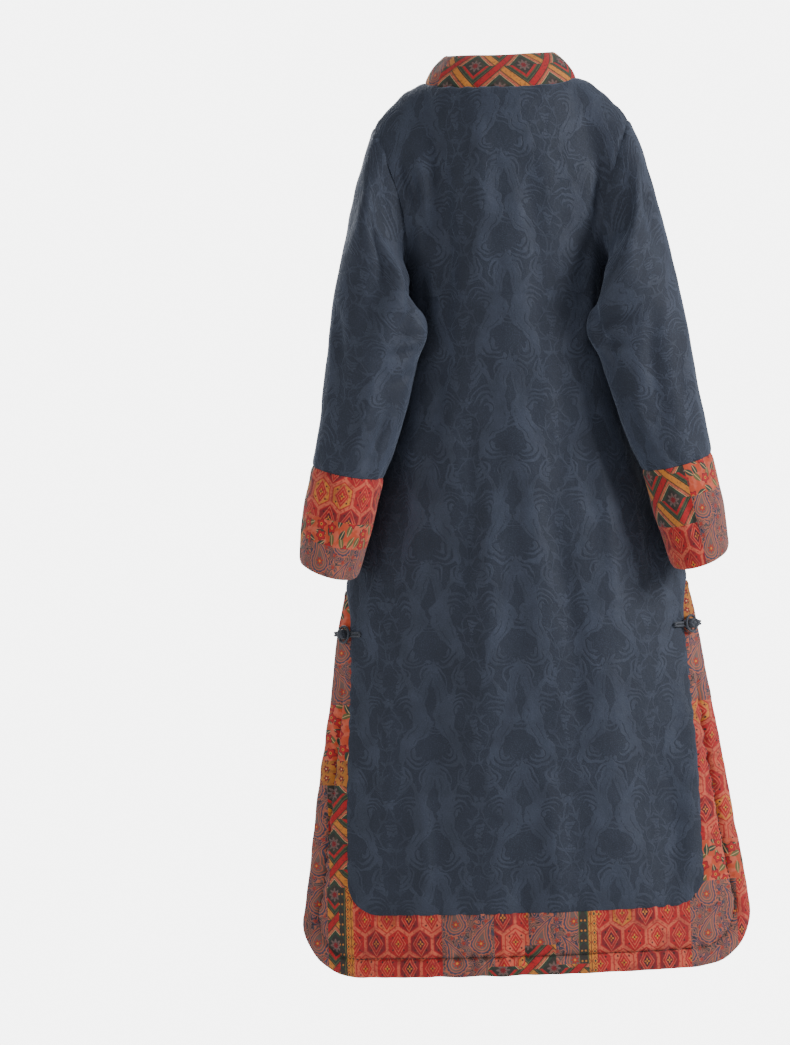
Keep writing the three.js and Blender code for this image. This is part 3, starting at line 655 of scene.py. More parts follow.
def damaskFigure(u, v):
    half, tall = damaskRepeat["half"], damaskRepeat["tall"]
    sway = cloud(u, v, 34) * 18 - 9
    drift = cloud(v, u, 44) * 24 - 12
    x = abs((u + sway).mod(2 * half) - half)
    y = (v + drift).mod(tall) - tall / 2
    phase = y * (2 * math.pi / tall)

    def stem(middle, width, veins):
        off = x - middle
        return abs(off).below(width, 0.9) - abs(off / width).line(0.5, veins, 0.06) * 0.8

    scallop = abs((phase * 4).sin()) * 2.2
    broad = stem(phase.sin() * 14 + 31, (phase + 0.6).sin() * 5.6 + 5.4 + scallop, 0.07)
    slim = stem((phase + 2.3).sin() * 9 + 52, (phase - 1.6).sin() * 4.6 + 2.6 + scallop * 0.6, 0.06)
    vine = x - ((phase * 2 + 0.7).sin() * 7 + 9)
    leafX, leafY = abs(vine), y.mod(damaskRepeat["leafStep"]) - 9.2
    leaf = (leafY - leafX * 0.7 + 3).line(0, leafX * -0.26 + 2.6, 0.5) * leafX.below(9, 0.4)
    figure = broad.most(slim * 0.8).most(vine.line(0, 0.9) * 0.8).most(leaf * 0.75)
    for spray in damaskSprays:
        figure = figure.most(plume(x, y, spray))
    for flower in damaskFlowers:
        figure = figure.most(damaskFlower(x, y, flower))
    return figure.most(0)


def damask(u, v):
    figure = damaskFigure(u, v)
    grain = cloud(u, v, 1.5, 1.0)
    woven = figure * (cloud(u, v, 30) * 0.9 + 0.1) * (grain * 0.9 + 0.4)
    # light specks of painted glint on the fine grain
    colour = printed("navy", (woven.least(1), "figure"), (grain.above(0.62, 0.2) * 0.5, "navyPaintedGlint"),
                     # soft patches of painted shade
                     (cloud(u, v, 36).above(0.55, 0.3) * 0.3, "navyPaintedShade"),
                     # broad, faint painted shade over large areas
                     (cloud(u, v, 190) * 0.3, "navyPaintedBroadShade"))
    height = figure * 0.42 + grain * 0.3 + cloud(u, v, 7.5) * 1.1
    return {"Base Color": colour, "Roughness": figure * -0.06 + 0.74}, height


hexagon = {"wide": 31, "tall": 36.5, "rise": 0.866}   # rise is the step from row to row, in units of tall


def hexagons(u, v):
    rise = hexagon["rise"]
    x, y = u / hexagon["wide"], v / hexagon["tall"]
    ax, ay = x.mod(1) - 0.5, y.mod(2 * rise) - rise
    bx, by = (x - 0.5).mod(1) - 0.5, (y - rise).mod(2 * rise) - rise
    pick = (ax * ax + ay * ay).math("LESS_THAN", bx * bx + by * by)
    gx, gy = bx + pick * (ax - bx), by + pick * (ay - by)
    luck = chance(((x - gx) * 2 + 0.5).floor(), ((y - gy) / rise + 0.5).floor())
    dark = luck.below(0.36, 0.01)
    sideX, sideY = abs(gx), abs(gy)
    rim = sideX.most(sideX * 0.5 + sideY * rise)
    diamond = sideX * 1.25 + sideY * 0.92
    return printed(
        "red",
        (luck.line(0.76, 0.12, 0.01), "salmon"),
        (dark, "crimson"),
        (luck.above(0.88, 0.01), "gold"),
        (diamond.line(0.4, 0.022, 0.02), "salmon"),
        (diamond.below(0.36, 0.03), "red"),
        (diamond.line(0.25, 0.02, 0.02), "salmon"),
        (diamond.below(0.21, 0.02) * dark, "plum"),
        (fromCentre(gx, gy).below(lobes(gx, gy, 4) * 0.04 + 0.08, 0.03), "gold"),
        (fromCentre(gx, gy).below(0.035, 0.02), "dark"),
        (fromCentre(sideX - 0.24, sideY - 0.22).below(0.035, 0.02), "dark"),
        (rim.above(0.4, 0.03), "red"),
        (rim.above(0.44, 0.02), "salmon"),
        (cloud(u, v, 19).above(0.58, 0.16) * 0.4, "crimson"),
        (cloud(u, v, 3.4, 1.0).above(0.61, 0.1) * 0.55, "crimson"),
    )


teardrop = {"wide": 38, "tall": 50, "centre": 7, "sprigWide": 15, "sprigTall": 14}


def paisley(u, v):
    wide, tall, step, rise = teardrop["wide"], teardrop["tall"], teardrop["sprigWide"], teardrop["sprigTall"]
    parity = (u / wide).floor().mod(2)
    x = (u.mod(wide) - wide / 2) * (parity * -2 + 1)
    y = (v + parity * (tall / 2)).mod(tall) - tall / 2 + teardrop["centre"]
    bent = x + 3 - y * y * 0.016
    outwards = fromCentre(bent, y.least(0)) * y.below(0, 0.1) + (abs(bent) + y * 0.42) * y.above(0, 0.1)
    swirl = (cloud(u, v, 13, 1.0) * 9).mod(1)
    sprigX, sprigY = u.mod(step) - step / 2, (v + (u / step).floor().mod(2) * (rise / 2)).mod(rise) - rise / 2
    scallop = abs((y.angleTo(bent) * 7).sin()) * 1.3
    return printed(
        "mauve",
        (cloud(u, v, 11).above(0.54, 0.12), "slate"),
        (swirl.line(0.5, 0.11, 0.08), "outline"),
        (swirl.line(0.08, 0.07, 0.05), "dark"),
        (fromCentre(sprigX, sprigY).below(lobes(sprigX, sprigY, 5) * 1.1 + 2.3, 0.5), "brick"),
        (outwards.below(scallop + 14.4, 0.6), "outline"),
        (outwards.below(scallop + 12.9, 0.6), "slate"),
        (outwards.below(11.4, 0.6), "outline"),
        (outwards.below(10.2, 0.6), "mauve"),
        (outwards.line(7.4, 0.6, 0.5), "outline"),
        (fromCentre(bent, y).below(lobes(bent, y, 7) * 1.4 + 4.4, 0.6), "brick"),
        (fromCentre(bent, y).below(1.6, 0.5), "gold"),
    )


crossing = {"step": 58.7, "scale": 0.9}
nestedEdges = rowsOf(
    "across halfWidth upper lower",
    (21.4, 2.0, "salmon", "leaf"),
    (18.2, 0.5, "cream", "olive"),
    (15.2, 1.9, "leaf", "red"),
)


def bandOf(across, ink, mask):
    # a flat band with a dark outline and a thin line beside each edge
    return [(abs(across).below(5.6, 0.5) * mask, "dark"), (abs(across).below(4.7, 0.5) * mask, ink),
            (abs(across).line(6.9, 0.45) * mask, "olive")]


def lattice(u, v):
    step = crossing["step"]
    a, b = (u + v) * crossing["scale"], (u - v) * crossing["scale"]
    fromA, fromB = a.mod(step) - step / 2, b.mod(step) - step / 2
    parity = ((a / step).floor() + (b / step).floor()).mod(2)
    everywhere = parity * 0 + 1
    cellX, cellY = (a + step / 2).mod(step) - step / 2, (b + step / 2).mod(step) - step / 2
    r = fromCentre(cellX, cellY)
    upper = (cellX - cellY).above(0, 0.5)
    nested = abs(cellX).most(abs(cellY))
    layers = [(cloud(u, v, 9).above(0.58, 0.12), "umber")]
    for row in nestedEdges:
        edge = nested.line(row["across"], row["halfWidth"], 0.5)
        layers += [(edge * upper, row["upper"]), (edge * (upper * -1 + 1), row["lower"])]
    layers += [(r.below(lobes(cellX, cellY, 8) * 2.4 + 9.0, 0.6), "mauve"),
               (r.below(lobes(cellX, cellY, 8) * 1.2 + 4.4, 0.6), "crimson")]
    bands = (fromA, "red", everywhere), (fromB, "gold", everywhere), (fromA, "red", parity)
    for across, ink, mask in bands:
        layers += bandOf(across, ink, mask)
    return printed("charcoal", *layers, (cloud(u, v, 3.1, 1.0).above(0.62, 0.1) * 0.4, "dark"))


def florals(u, v):
    x, y, luck = scattered(u, v, 15, 40)
    leaf = (abs(y) + x * x * 0.05).below(3.6, 0.5)
    flowerX, flowerY, _ = scattered(u, v, 22, 333)
    r, wave = fromCentre(flowerX, flowerY), lobes(flowerX, flowerY, 5)
    return printed(
        "orange",
        (cloud(u, v, 12).above(0.54, 0.12), "salmon"),
        (leaf, "leaf"),
        (leaf * luck.above(0.6, 0.02), "olive"),
        (leaf * abs(y).below(0.4, 0.4), "cream"),
        (r.below(wave * 1.2 + 6.2, 0.5), "crimson"),
        (r.below(wave + 4.9, 0.5), "red"),
        (r.below(2.0, 0.5), "gold"),
        (r.below(0.9, 0.4), "dark"),
    )


def goldColumn(u, v):
    x, y = u.mod(9.1) - 4.55, v.mod(12) - 6
    diamond = abs(x) + abs(y) * 0.72
    return printed("gold", (diamond.line(3.6, 0.5), "crimson"), (diamond.below(1.5, 0.4), "leaf"),
                   (abs(x).above(4.1, 0.3), "dark"))


def leafColumn(u, v):
    x, y = abs(u.mod(12) - 6), v.mod(13) - 6.5
    leaf = abs(y - x * 0.8 + 2.2).below(x * -0.34 + 2.3, 0.5) * x.above(0.6, 0.3)
    return printed("charcoal", (leaf, "leaf"), (x.below(0.6, 0.4), "olive"),
                   (fromCentre(x - 3.6, y - 4).below(1.3, 0.5), "ochre"))


def sprigs(u, v):
    x, y = u.mod(11) - 5.5, (v + (u / 11).floor().mod(2) * 6).mod(12) - 6
    r = fromCentre(x, y)
    petals, stalk = r.below(lobes(x, y, 5) + 3.3, 0.5), (x + y * 0.5).line(-4.6, 0.5) * y.below(0, 0.4)
    return printed("ochre", (cloud(u, v, 8).above(0.55, 0.1), "bronze"), (petals, "crimson"),
                   (r.below(1.1, 0.4), "cream"), (stalk, "leaf"))


def printedOn(pattern):
    def dye(u, v):
        # every print a little darker all over, and more in soft cloudy patches
        colour = printed(pattern(u, v), (cloud(u, v, 46) * 0.35 + 0.05, "printDarkening"))
        thread = (u * 6.6).sin() * (v * 6.6).sin() * 0.07 + cloud(u, v, 1.7, 1.0) * 0.25
        return {"Base Color": colour, "Roughness": cloud(u, v, 5) * 0.12 + 0.76}, thread

    return dye


def lining(u, v):
    rib = (u * 3.1).sin() * (v * 3.1).sin()
    return {"Base Color": printed("lining", (cloud(u, v, 24) * 0.6, "liningThread"))}, rib * 0.12


def fibrous(ground, fibre, scale):
    # a fine solid grain, for pieces without a flat cut
    def dye(tree):
        place = tree.nodes.new("ShaderNodeTexCoord")
        grain = tree.nodes.new("ShaderNodeTexNoise")
        feed(grain.inputs["Scale"], scale)
        feed(grain.inputs["Vector"], Wire(place.outputs["Object"]))
        fibres = Wire(grain.outputs["Fac"])
        return {"Base Color": printed(ground, (fibres, fibre))}, fibres

    return dye


def onCut(dye):
    # a dye that follows the flat cut
    def placedDye(tree):
        node = tree.nodes.new("ShaderNodeUVMap")
        node.uv_map = "cut"
        u, v, _ = parted(node.outputs[0])
        return dye(u * mmPerMetre, v * mmPerMetre)

    return placedDye


def makeMaterial(name, dye, relief, finish):
    # dye gives what varies over the cloth, finish what is the same all over
    made = bpy.data.materials.new(name)
    made.use_nodes = True
    tree = made.node_tree
    shader = tree.nodes["Principled BSDF"]
    sockets, height = dye(tree) if dye else ({}, None)
    for socket, value in (sockets | finish).items():
        feed(shader.inputs[socket], value)
    if relief:
        bump = tree.nodes.new("ShaderNodeBump")
        for socket, value in (("Strength", relief), ("Distance", mm), ("Height", height)):
            feed(bump.inputs[socket], value)
        feed(shader.inputs["Normal"], Wire(bump.outputs["Normal"]))
    return made


damaskFinish = {"Specular IOR Level": 0.22, "Sheen Weight": 0.22, "Sheen Roughness": 0.45,
                "Sheen Tint": (0.55, 0.65, 0.85, 1)}
printFinish = {"Specular IOR Level": 0.25, "Sheen Weight": 0.12, "Sheen Roughness": 0.5}
navyDamask = makeMaterial("navyDamask", onCut(damask), 0.8, damaskFinish)
inside = makeMaterial("insideCloth", onCut(lining), 0.6, {"Roughness": 0.85})
cordFinish = {"Roughness": 0.66, "Sheen Weight": 0.15}
cordMaterial = makeMaterial("navyCord", fibrous("cord", "cordThread", 700), 0.5, cordFinish)
threadMaterial = makeMaterial("stitchThread", fibrous("stitch", "stitchFibre", 2400), 0, {"Roughness": 0.6})
patterns = {"hexagons": hexagons, "paisley": paisley, "lattice": lattice, "florals": florals,
            "goldColumn": goldColumn, "leafColumn": leafColumn, "sprigs": sprigs}
prints = [makeMaterial(name.removesuffix("s") + "Print", onCut(printedOn(pattern)), 0.7, printFinish)
          for name, pattern in patterns.items()]
printOrder = list(patterns)
print("materials made")


# Navy panels
panel = {"neckTurn": 3, "shoulderCells": 8, "cornerCells": 10, "yokeRows": 46, "lowerRows": 150,
         "neckEase": 14, "neckEaseReach": 0.13, "armpitEase": 8, "armpitEaseRows": 5, "frontEdgeTurn": 1.1}


def panelStations():
    half = [neckStation * math.sin(math.radians(turn)) for turn in range(0, 90, panel["neckTurn"])]
    shoulder = panel["shoulderCells"]
    half += [mix(neckStation, cornerStation, k / shoulder) for k in range(shoulder)]
    quarter = math.pi / 2 / panel["cornerCells"]
    return half + [mix(cornerStation, 1, math.sin(k * quarter)) for k in range(panel["cornerCells"] + 1)]


def panelCut(points, centre):
    # the flat pattern's places: across along each row, and up from the armpit line
    acrosses = []
    for line in points:
        places = [0.0] * len(line)
        for step in (1, -1):
            across, j = 0.0, centre + step
            while 0 <= j < len(line):
                gap = line[j] - line[j - step]
                across += math.hypot(gap.x, gap.y)
                places[j] = math.copysign(across, line[j].x)
                j += step
        acrosses.append(places)
    cut = [[None] * len(points[0]) for _ in points]
    for j in range(len(points[0])):
        down = armpitZ
        for i in range(len(points) - 1, -1, -1):
            if i < panel["yokeRows"]:
                down += (points[i][j] - points[i + 1][j]).length
            else:
                down = points[i][j].z
            cut[i][j] = (acrosses[i][j], down)
    return cut


def eased(points, stations):
    # the form is smoothed beside the neck's ends and at the armpit line
    near = [j for j in range(1, len(stations) - 1)
            if abs(abs(stations[j]) - neckStation) < panel["neckEaseReach"]]
    last, around = panel["yokeRows"], panel["armpitEaseRows"]
    for _ in range(panel["neckEase"]):
        for line in points[1:last]:
            fresh = {j: line[j] * 0.5 + (line[j - 1] + line[j + 1]) * 0.25 for j in near}
            for j, point in fresh.items():
                line[j] = point
    for _ in range(panel["armpitEase"]):
        for i in range(last - around, last + around + 1):
            for j, point in enumerate(points[i]):
                middle = (points[i - 1][j] + points[i + 1][j]) / 2
                points[i][j] = Vector((point.x, mix(point.y, middle.y, 0.5), point.z))
    return points


def makePanel(name, stations, face, sign, creases):
    falls = [k / panel["yokeRows"] for k in range(panel["yokeRows"])]
    falls += [1 + k / panel["lowerRows"] for k in range(panel["lowerRows"] + 1)]
    points = eased([[panelPoint(station, fall, face) for station in stations] for fall in falls], stations)
    centre = min(range(len(stations)), key=lambda j: abs(stations[j]))
    cut = panelCut(points, centre)
    isFront = centre == 0

    def detail(i, j, point):
        u, v = cut[i][j]
        sideSeam = max(abs(cut[i][0][0]), abs(cut[i][-1][0])) - abs(u)
        topSeam = cut[0][j][1] - v
        lowerSeam = point.z - navyLowerEdge(abs(stations[j]))
        nearest = min(sideSeam, topSeam, max(0, lowerSeam))
        along = v if sideSeam == nearest else u
        depth = seamPull(nearest, along) + creaseDepth(creases, point.x, point.z) + undulation(point)
        return depth - panel["frontEdgeTurn"] * bell(u, endRoll) if isFront else depth

    moved = movedOut(points, sign, detail)
    if isFront:
        for line in moved:
            line[0].x = 0
    piece = gridMesh(name, moved, cut, sign, [navyDamask])
    facts = flatFacts(piece)
    return thickened(piece), facts


halfStations = panelStations()
mirrored = [-station for station in halfStations]
backPanel = makePanel("backPanel", halfStations[:0:-1] + [0] + mirrored[1:], 1, 1, backCreases)
leftFront = makePanel("leftFront", halfStations, -1, 1, frontCreases)
rightFront = makePanel("rightFront", mirrored, -1, -1, frontCreases)
print("panels made")


# Sleeves and cuffs, on one chain of rings from the armhole to the wrist
sleeve = {"columns": 96, "rowsPerRing": 11, "firstTurn": -150, "cutRadius": 50, "clearance": 4,
          "coreShare": 0.55, "creaseFade": 14, "swellFade": 30, "tuckInward": 1.4, "tuckUnder": 2.6,
          "cuffCrown": 1.8, "mouthTurn": 1.4}
underarm = {"z": -238, "tall": 52, "turn": 138, "wide": 44, "inward": 31, "back": 11, "fade": 1.1}


def ringPoint(ring, angle):
    out, side = (math.cos(angle) + 1) / 2, math.sin(angle)
    return clearOfBody(Vector((
        mix(ring["innerX"], ring["outerX"], out),
        mix(ring["innerY"], ring["outerY"], out) + side * ring["depth"],
        mix(ring["innerZ"], ring["outerZ"], out) - side * ring["droop"],
    )))


def insideBody(x, y, z):
    clearance = sleeve["clearance"]
    if z > armpitZ:
        angle = math.acos(max(-1, min(1, (2 * z - shoulderZ - armpitZ) / (shoulderZ - armpitZ))))
        back, front = armholePoint(angle, 1), armholePoint(angle, -1)
        return front.y < y < back.y and x < back.x + clearance / 2
    halfWidth = bodyWidth(z) + clearance
    if x > halfWidth:
        return False
    sideY = levelAt("body", "sideY", z)
    full = fullness(x / halfWidth, math.radians(levelAt("body", "turn", z)))
    back = mix(sideY, levelAt("body", "back", z) + clearance, full)
    front = mix(sideY, -levelAt("body", "front", z) - clearance, full)
    return front < y < back


def clearOfBody(point):
    coreX = sleeve["coreShare"] * bodyWidth(point.z)
    coreY = levelAt("body", "sideY", point.z)
    grow = 1.0
    place = point
    while grow < 2 and insideBody(*place):
        grow += 0.01
        place = Vector((mix(coreX, point.x, grow), mix(coreY, point.y, grow), point.z))
    return place


def between(before, start, end, after, s):
    # a smooth curve from start to end, shaped by the points on either side
    return 0.5 * (2 * start + (end - before) * s + (2 * before - 5 * start + 4 * end - after) * s * s
                  + (3 * start - before - 3 * end + after) * s ** 3)


def throughPoints(keys, t):
    last = len(keys) - 1
    i = min(last - 1, int(t))
    return between(keys[max(0, i - 1)], keys[i], keys[i + 1], keys[min(last, i + 2)], t - i)


def sleeveChain():
    turns = [sleeve["firstTurn"] + 360 * k / sleeve["columns"] for k in range(sleeve["columns"])]
    chains = []
    for turn in turns:
        face = 1 if 0 <= turn <= 180 else -1
        around = abs(turn) if turn <= 180 else 360 - turn
        keys = [armholePoint(math.radians(around), face) + Vector((joinGap, 0, 0))]
        chains.append(keys + [ringPoint(ring, math.radians(turn)) for ring in sleeveRings])
    return turns, chains


def underarmFold(point, turn, ring):
    # the back of the sleeve droops over the body at the armpit
    amount = smooth(ring / underarm["fade"]) * bell(point.z - underarm["z"], underarm["tall"])
    amount *= bell(turn - underarm["turn"], underarm["wide"])
    return point + Vector((-underarm["inward"], underarm["back"], 0)) * amount


def sleevePoints():
    turns, chains = sleeveChain()
    steps = sleeve["rowsPerRing"]
    points = []
    for k in range(len(sleeveRings) * steps + 1):
        line = [throughPoints(keys, k / steps) for keys in chains]
        if k >= steps:
            line = [clearOfBody(point) for point in line]
        points.append([underarmFold(point, turn, k / steps) for point, turn in zip(line, turns)])
    return turns, points


def lengthsAlong(line):
    # the distance of each point from the first
    lengths = [0]
    for a, b in zip(line, line[1:]):
        lengths.append(lengths[-1] + (b - a).length)
    return lengths


def makeSleeve(word, side, creases, patches):
    turns, points = sleevePoints()
    outerColumn = min(range(len(turns)), key=lambda j: abs(turns[j]))
    down = lengthsAlong([line[outerColumn] for line in points])
    if side < 0:
        points = [[Vector((-point.x, point.y, point.z)) for point in line] for line in points]
    radius = sleeve["cutRadius"]
    columns = len(turns)
    cut = [[(math.radians(turns[0] + 360 * j / columns) * radius, -length) for j in range(columns + 1)]
           for length in down]
    cuffRow = cuffSeamRing * sleeve["rowsPerRing"]
    cuffStart, cuffEnd = down[cuffRow], down[-1]

    def detail(i, j, point):
        turn = turns[j] if turns[j] <= 180 else turns[j] - 360
        across, length = math.radians(turn) * radius, down[i]
        depth = creaseDepth(creases, across, length) * smooth(length / sleeve["creaseFade"])
        depth += undulation(point, smooth(length / sleeve["swellFade"]))
        depth += seamPull(min(length, abs(length - cuffStart)), across)
        if length > cuffStart:
            t = (length - cuffStart) / (cuffEnd - cuffStart)
            depth += sleeve["cuffCrown"] * math.sin(math.pi * t)
            depth -= sleeve["mouthTurn"] * bell(cuffEnd - length, edgeRoll)
        return depth

    moved = movedOut(points, side, detail, wraps=True)
    middle = sum(moved[0], Vector()) / columns
    for place in moved[0]:
        # the seam edge is tucked under the body's cloth
        inward = Vector((0, middle.y - place.y, middle.z - place.z)).normalized()
        place += inward * sleeve["tuckInward"] - Vector((side * sleeve["tuckUnder"], 0, 0))
    main = gridMesh(f"{word}Sleeve", moved[:cuffRow + 1], cut[:cuffRow + 1], side, [navyDamask], wraps=True)
    drop = Vector((0, 0, -seamGap))
    cuffPoints = [[point + drop for point in line] for line in moved[cuffRow:]]
    cuff = gridMesh(f"{word}Cuff", cuffPoints, cut[cuffRow:], side, prints, wraps=True)
    paintCuff(cuff, patches, cuffStart, cuffEnd)
    return [(thickened(piece), facts) for piece, facts in [(main, flatFacts(main)), (cuff, flatFacts(cuff))]]


# Patches of each cuff: turn is degrees from the outer line towards the back, down is a share of its length.
leftCuffPatches = rowsOf(
    "cloth turn1 turn2 down1 down2",
    ("lattice", -28, 22, 0, 1),
    ("hexagons", 22, 200, 0, 0.45),
    ("florals", 22, 200, 0.45, 0.7),
    ("paisley", 22, 200, 0.7, 1),
    ("paisley", -100, -28, 0, 0.5),
    ("hexagons", -100, -28, 0.5, 1),
    ("florals", -181, -100, 0, 1),
)
rightCuffPatches = rowsOf(
    "cloth turn1 turn2 down1 down2",
    ("lattice", 84, 181, 0, 0.58),
    ("hexagons", 84, 181, 0.58, 1),
    ("florals", -20, 84, 0, 0.34),
    ("paisley", -20, 84, 0.34, 1),
    ("hexagons", -110, -20, 0, 1),
    ("lattice", -181, -110, 0, 1),
)


def paintCuff(cuff, patches, start, end):
    layer = cuff.data.uv_layers["cut"].data
    for polygon in cuff.data.polygons:
        corners = [layer[k].uv for k in polygon.loop_indices]
        across, down = (sum(corner[axis] for corner in corners) / len(corners) / mm for axis in (0, 1))
        turn = math.degrees(across / sleeve["cutRadius"])
        turn = turn if turn <= 180 else turn - 360
        t = (-down - start) / (end - start)
        for patch in patches:
            if patch["turn1"] <= turn < patch["turn2"] and patch["down1"] <= t <= patch["down2"]:
                polygon.material_index = printOrder.index(patch["cloth"])
                break


leftSleeve, leftCuff = makeSleeve("left", 1, leftSleeveCreases, leftCuffPatches)
rightSleeve, rightCuff = makeSleeve("right", -1, rightSleeveCreases, rightCuffPatches)
print("sleeves made")


# Stand collar
collar = {"topHalfWidth": 70, "topZ": 43, "backReach": 48, "backDrop": 8, "frontReach": 66,
          "frontDrop": 70, "frontRounding": 12, "roundingTurn": 9, "bulge": 3, "turn": 3, "rows": 14,
          "tuck": 0.09, "crown": 1.2, "topTurn": 1.5, "endTurn": 1.2, "endGap": 0.2, "seamDepth": 1.4,
          "swell": 0.8}
collarPatches = rowsOf(
    "cloth turn1 turn2",
    ("paisley", 106, 122),
    ("lattice", 58, 306),
    ("hexagons", 0, 360),
)


def collarPoint(turnRound, t):
    # turnRound runs from the left front edge, 0, round the back, 180, to the right front edge, 360
    side = 1 if turnRound <= 180 else -1
    around = turnRound if turnRound <= 180 else 360 - turnRound
    face = -1 if around < 90 else 1
    turn = math.radians(around if around < 90 else 180 - around)
    base = topPoint(neckStation * math.sin(turn), face)
    along = math.cos(turn)
    reach, drop, rounding = collar["backReach"], collar["backDrop"], 0
    if face < 0:
        reach, drop = -collar["frontReach"], collar["frontDrop"]
        rounding = collar["frontRounding"] * (1 - smooth(around / collar["roundingTurn"]))
    top = Vector((collar["topHalfWidth"] * math.sin(turn), neckSideY + reach * along,
                  collar["topZ"] - drop * along - rounding))
    point = base.lerp(top, t - collar["tuck"] * (1 - t))
    bulge = collar["bulge"] * math.sin(math.pi * t)
    point += Vector((bulge * math.sin(turn), bulge * face * along, joinGap))
    point.x = side * max(point.x, 0 if face > 0 else seamGap + collar["endGap"])
    return point


def makeCollar():
    turns = list(range(0, 361, collar["turn"]))
    rows = collar["rows"]
    points = [[collarPoint(turn, i / rows) for turn in turns] for i in range(rows + 1)]
    across = lengthsAlong(points[rows // 2])
    centre = len(turns) // 2
    heights = [(line[centre] - points[0][centre]).length for line in points]
    cut = [[(across[-1] / 2 - length, height) for length in across] for height in heights]

    def detail(i, j, point):
        height, fromEnd = heights[i], min(across[j], across[-1] - across[j])
        depth = seamPull(height, cut[i][j][0], collar["seamDepth"]) + undulation(point, collar["swell"])
        depth += collar["crown"] * math.sin(math.pi * i / rows)
        topTurn = collar["topTurn"] * bell(heights[-1] - height, edgeRoll)
        return depth - (topTurn + collar["endTurn"] * bell(fromEnd, endRoll))

    moved = movedOut(points, -1, detail)
    for line in moved:
        line[0].x, line[-1].x = collar["endGap"], -collar["endGap"]
    piece = gridMesh("standCollar", moved, cut, -1, prints)
    for index, polygon in enumerate(piece.data.polygons):
        turn = turns[index % (len(turns) - 1)]
        cloth = next(row["cloth"] for row in collarPatches if row["turn1"] <= turn < row["turn2"])
        polygon.material_index = printOrder.index(cloth)
    facts = flatFacts(piece)
    return thickened(piece), facts


standCollar = makeCollar()
print("collar made")


# Patchwork border round the slits and the hem
border = {"sideRows": 84, "cornerRows": 24, "hemRows": 42, "cells": 20, "startZ": -651, "cornerTurn": 5,
          "sideStep": 17, "flare": 0.07, "fullness": 1.02, "edgeTurn": 1.3, "frontEdgeTurn": 1.1,
          "tuckInward": 2.6, "tuckUnder": 1.2, "wander": 1.5, "wanderLength": 27, "cutMargin": 4}
quilting = {"inset": 24, "fadeFrom": 34, "fade": 10, "stitchFrom": 42, "groove": 5.6, "grooveWidth": 2.9,
            "puckers": 3, "puckerWidth": 11, "rim": 1.8, "rimInset": 11, "rimWidth": 8}


def borderOuterPath():
    cornerTopZ = hemZ + hemCornerRadius
    startZ = navyBottomZ + navyCornerRadius
    sideZs = [startZ - k * border["sideStep"] for k in range(3)] + [cornerTopZ]
    path = [(bodyWidth(z), z) for z in sideZs]
    centreX = path[-1][0] - hemCornerRadius
    for turn in range(border["cornerTurn"], 91, border["cornerTurn"]):
        angle = math.radians(turn)
        x, z = centreX + hemCornerRadius * math.cos(angle), cornerTopZ - hemCornerRadius * math.sin(angle)
        path.append((x, z))
    path.append((cornerStation * navyWidth(navyBottomZ), hemZ))
    return path


def alongPath(path, share):
    lengths = [0]
    for a, b in zip(path, path[1:]):
        lengths.append(lengths[-1] + math.hypot(b[0] - a[0], b[1] - a[1]))
    wanted = share * lengths[-1]
    i = 1
    while i < len(path) - 1 and lengths[i] < wanted:
        i += 1
    t = (wanted - lengths[i - 1]) / (lengths[i] - lengths[i - 1])
    return mix(path[i - 1][0], path[i][0], t), mix(path[i - 1][1], path[i][1], t)


def borderLines():
    # pairs of (inside, outside) places of the left half, from the slit's top to the hem's middle
    lines = []
    cornerZ = navyBottomZ + navyCornerRadius
    for k in range(border["sideRows"]):
        z = mix(border["startZ"], cornerZ, k / border["sideRows"])
        lines.append(((navyWidth(z) + seamGap, z), (bodyWidth(z), z)))
    path = borderOuterPath()
    for k in range(border["cornerRows"] + 1):
        angle = math.pi / 2 * k / border["cornerRows"]
        station = mix(cornerStation, 1, math.cos(angle))
        z = navyLowerEdge(station)
        inner = (station * navyWidth(z) + seamGap * math.cos(angle), z - seamGap * math.sin(angle))
        lines.append((inner, alongPath(path, k / border["cornerRows"])))
    hemStart = lines[-1][0][0]
    for k in range(1, border["hemRows"] + 1):
        x = mix(hemStart, 0, k / border["hemRows"])
        lines.append(((x, navyBottomZ - seamGap), (x, hemZ)))
    return lines


def flatX(x, z):
    share = x / bodyWidth(z)
    return x * (1 + border["flare"] * share * share)


def borderGrid(halves, face):
    # halves lists (line, side) pairs along the border
    points, cut = [], []
    for (inner, outer), side in halves:
        shares = [q / border["cells"] for q in range(border["cells"] + 1)]
        places = [(side * mix(inner[0], outer[0], t), mix(inner[1], outer[1], t)) for t in shares]
        points.append([skirtPoint(x, z, face) for x, z in places])
        cut.append([(flatX(x, z), z) for x, z in places])
    return points, cut


